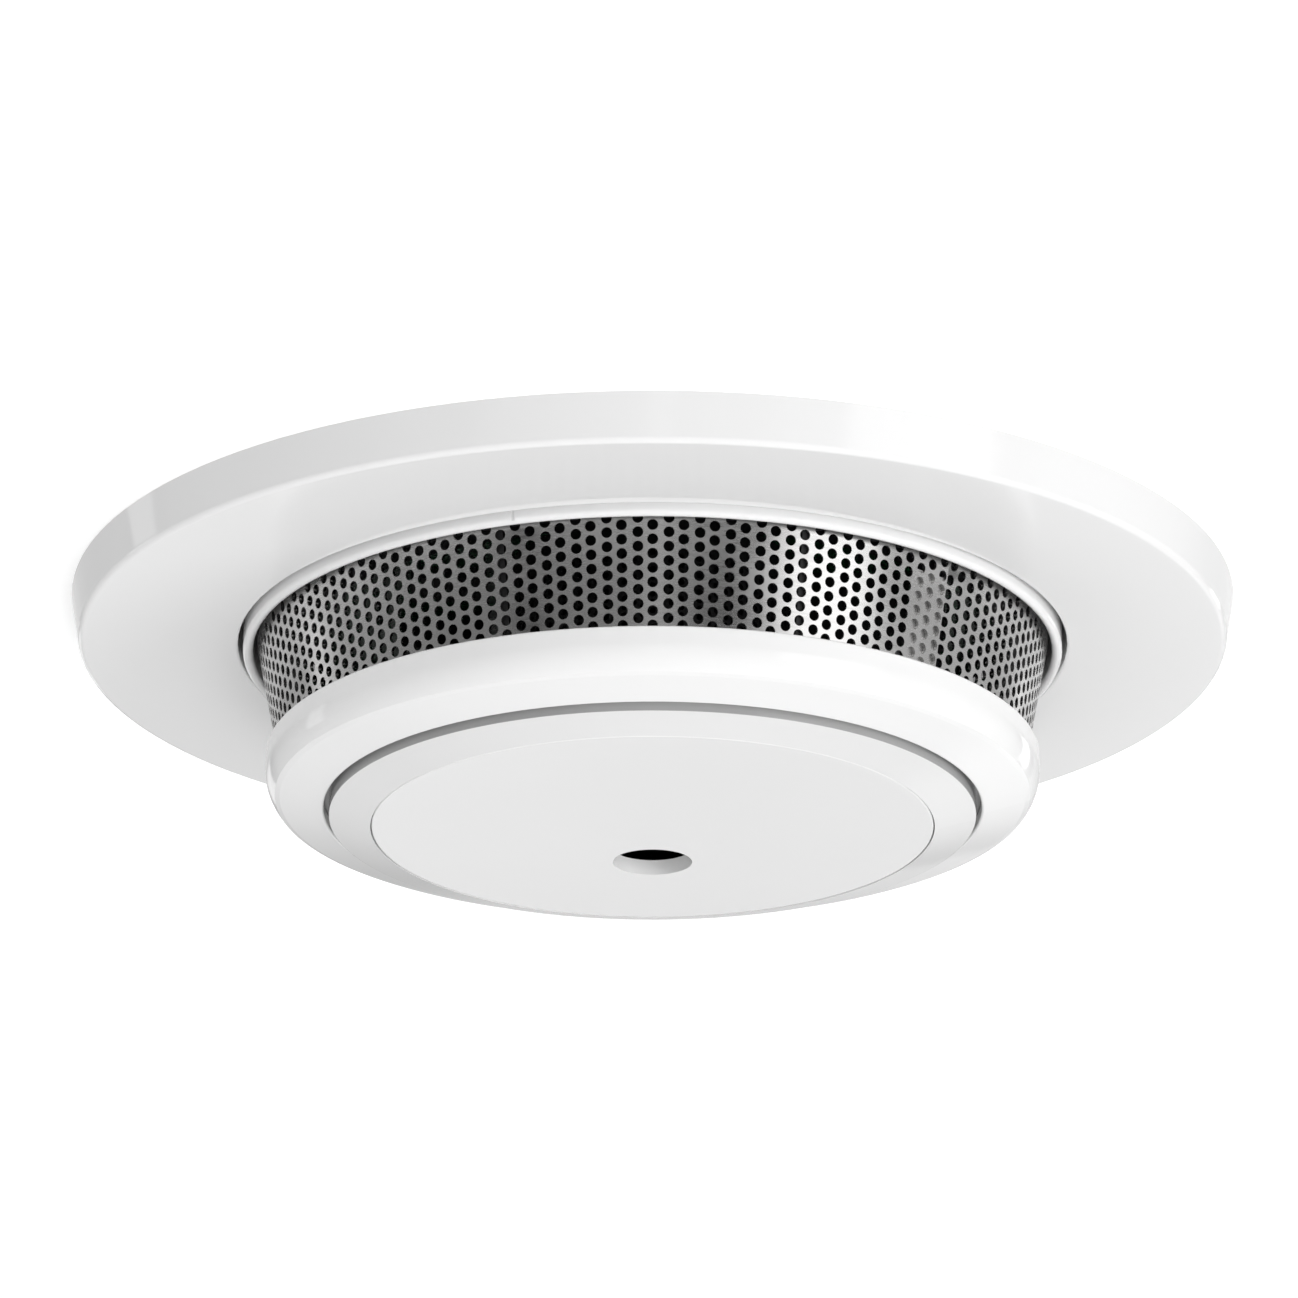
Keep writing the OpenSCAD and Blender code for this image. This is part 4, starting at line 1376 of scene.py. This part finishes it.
    def world(self) -> None:
        """A white surround for the eye, a grey one for mirrors, and even light for everything else."""
        world = bpy.data.worlds.new("surround")
        world.use_nodes = True
        nodes, links = world.node_tree.nodes, world.node_tree.links
        rays = nodes.new("ShaderNodeLightPath")
        base = nodes["Background"]
        base.inputs["Color"].default_value = (1.0, 1.0, 1.0, 1.0)
        base.inputs["Strength"].default_value = 0.55
        mirror, eye = nodes.new("ShaderNodeBackground"), nodes.new("ShaderNodeBackground")
        for node, strength in ((mirror, 0.22), (eye, 1.0)):
            node.inputs["Color"].default_value = (1.0, 1.0, 1.0, 1.0)
            node.inputs["Strength"].default_value = strength
        first, second = nodes.new("ShaderNodeMixShader"), nodes.new("ShaderNodeMixShader")
        links.new(rays.outputs["Is Glossy Ray"], first.inputs[0])
        links.new(base.outputs[0], first.inputs[1])
        links.new(mirror.outputs[0], first.inputs[2])
        links.new(rays.outputs["Is Camera Ray"], second.inputs[0])
        links.new(first.outputs[0], second.inputs[1])
        links.new(eye.outputs[0], second.inputs[2])
        links.new(second.outputs[0], nodes["World Output"].inputs["Surface"])
        bpy.context.scene.world = world

    def lights(self) -> None:
        """A broad key from the right and below, a soft fill, and one over the top for the other sides."""
        centre = (0.0, 0.0, 0.0)
        self.area("key", (1.31, -0.91, -0.58), centre, (1.0, 1.0), 13.0)
        self.area("under", (0.15, -0.75, -1.3), centre, (1.0, 1.0), 8.4)
        self.area("fill", (-1.4, -0.2, -0.6), centre, (1.6, 1.4), 3.0)
        self.area("far_side", (0.2, 1.4, -0.7), centre, (1.6, 1.0), 2.5)
        self.area("overhead", (0.5, 0.3, 1.6), centre, (1.8, 1.8), 16.0)

    def set_up(self) -> None:
        """Sets everything up, and the plain view transform."""
        self.camera()
        self.surfaces()
        self.world()
        self.lights()
        self.mirrored()
        settings = bpy.context.scene.view_settings
        settings.view_transform, settings.look = "Standard", "None"


def build_alarm(shop: FinishShop) -> None:
    """Builds the fine parts and dresses them, reporting each.

    Args:
        shop: the shop that holds the finishes.
    """
    pieces: list[tuple[str, Callable[[], bpy.types.Object]]] = [
        ("grille_steel", SteelBand().build),
        ("black_plastic", InsectScreen().build),
        ("zinc_steel", ButtonSprings().build),
    ]
    for slot, build in pieces:
        piece = build()
        shop.dress(piece, slot)
        log.info("%s: %d faces", piece.name, len(piece.data.polygons))
    for number in (1, 2, 3):
        shop.dress(ClipSprings().build(number), "zinc_steel")
        log.info("clip spring %d is in", number)
    for slot, piece in BoardParts().build().items():
        shop.dress(piece, slot)
        log.info("%s: %d faces", piece.name, len(piece.data.polygons))


def main() -> None:
    """Builds the scene in order."""
    logging.basicConfig(level=logging.INFO, format="%(name)s: %(message)s")
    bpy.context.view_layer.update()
    stage = Stage()
    stage.set_up()
    shop = FinishShop()
    shop.dress_nodes()
    build_alarm(shop)


if __name__ == "__main__":
    main()
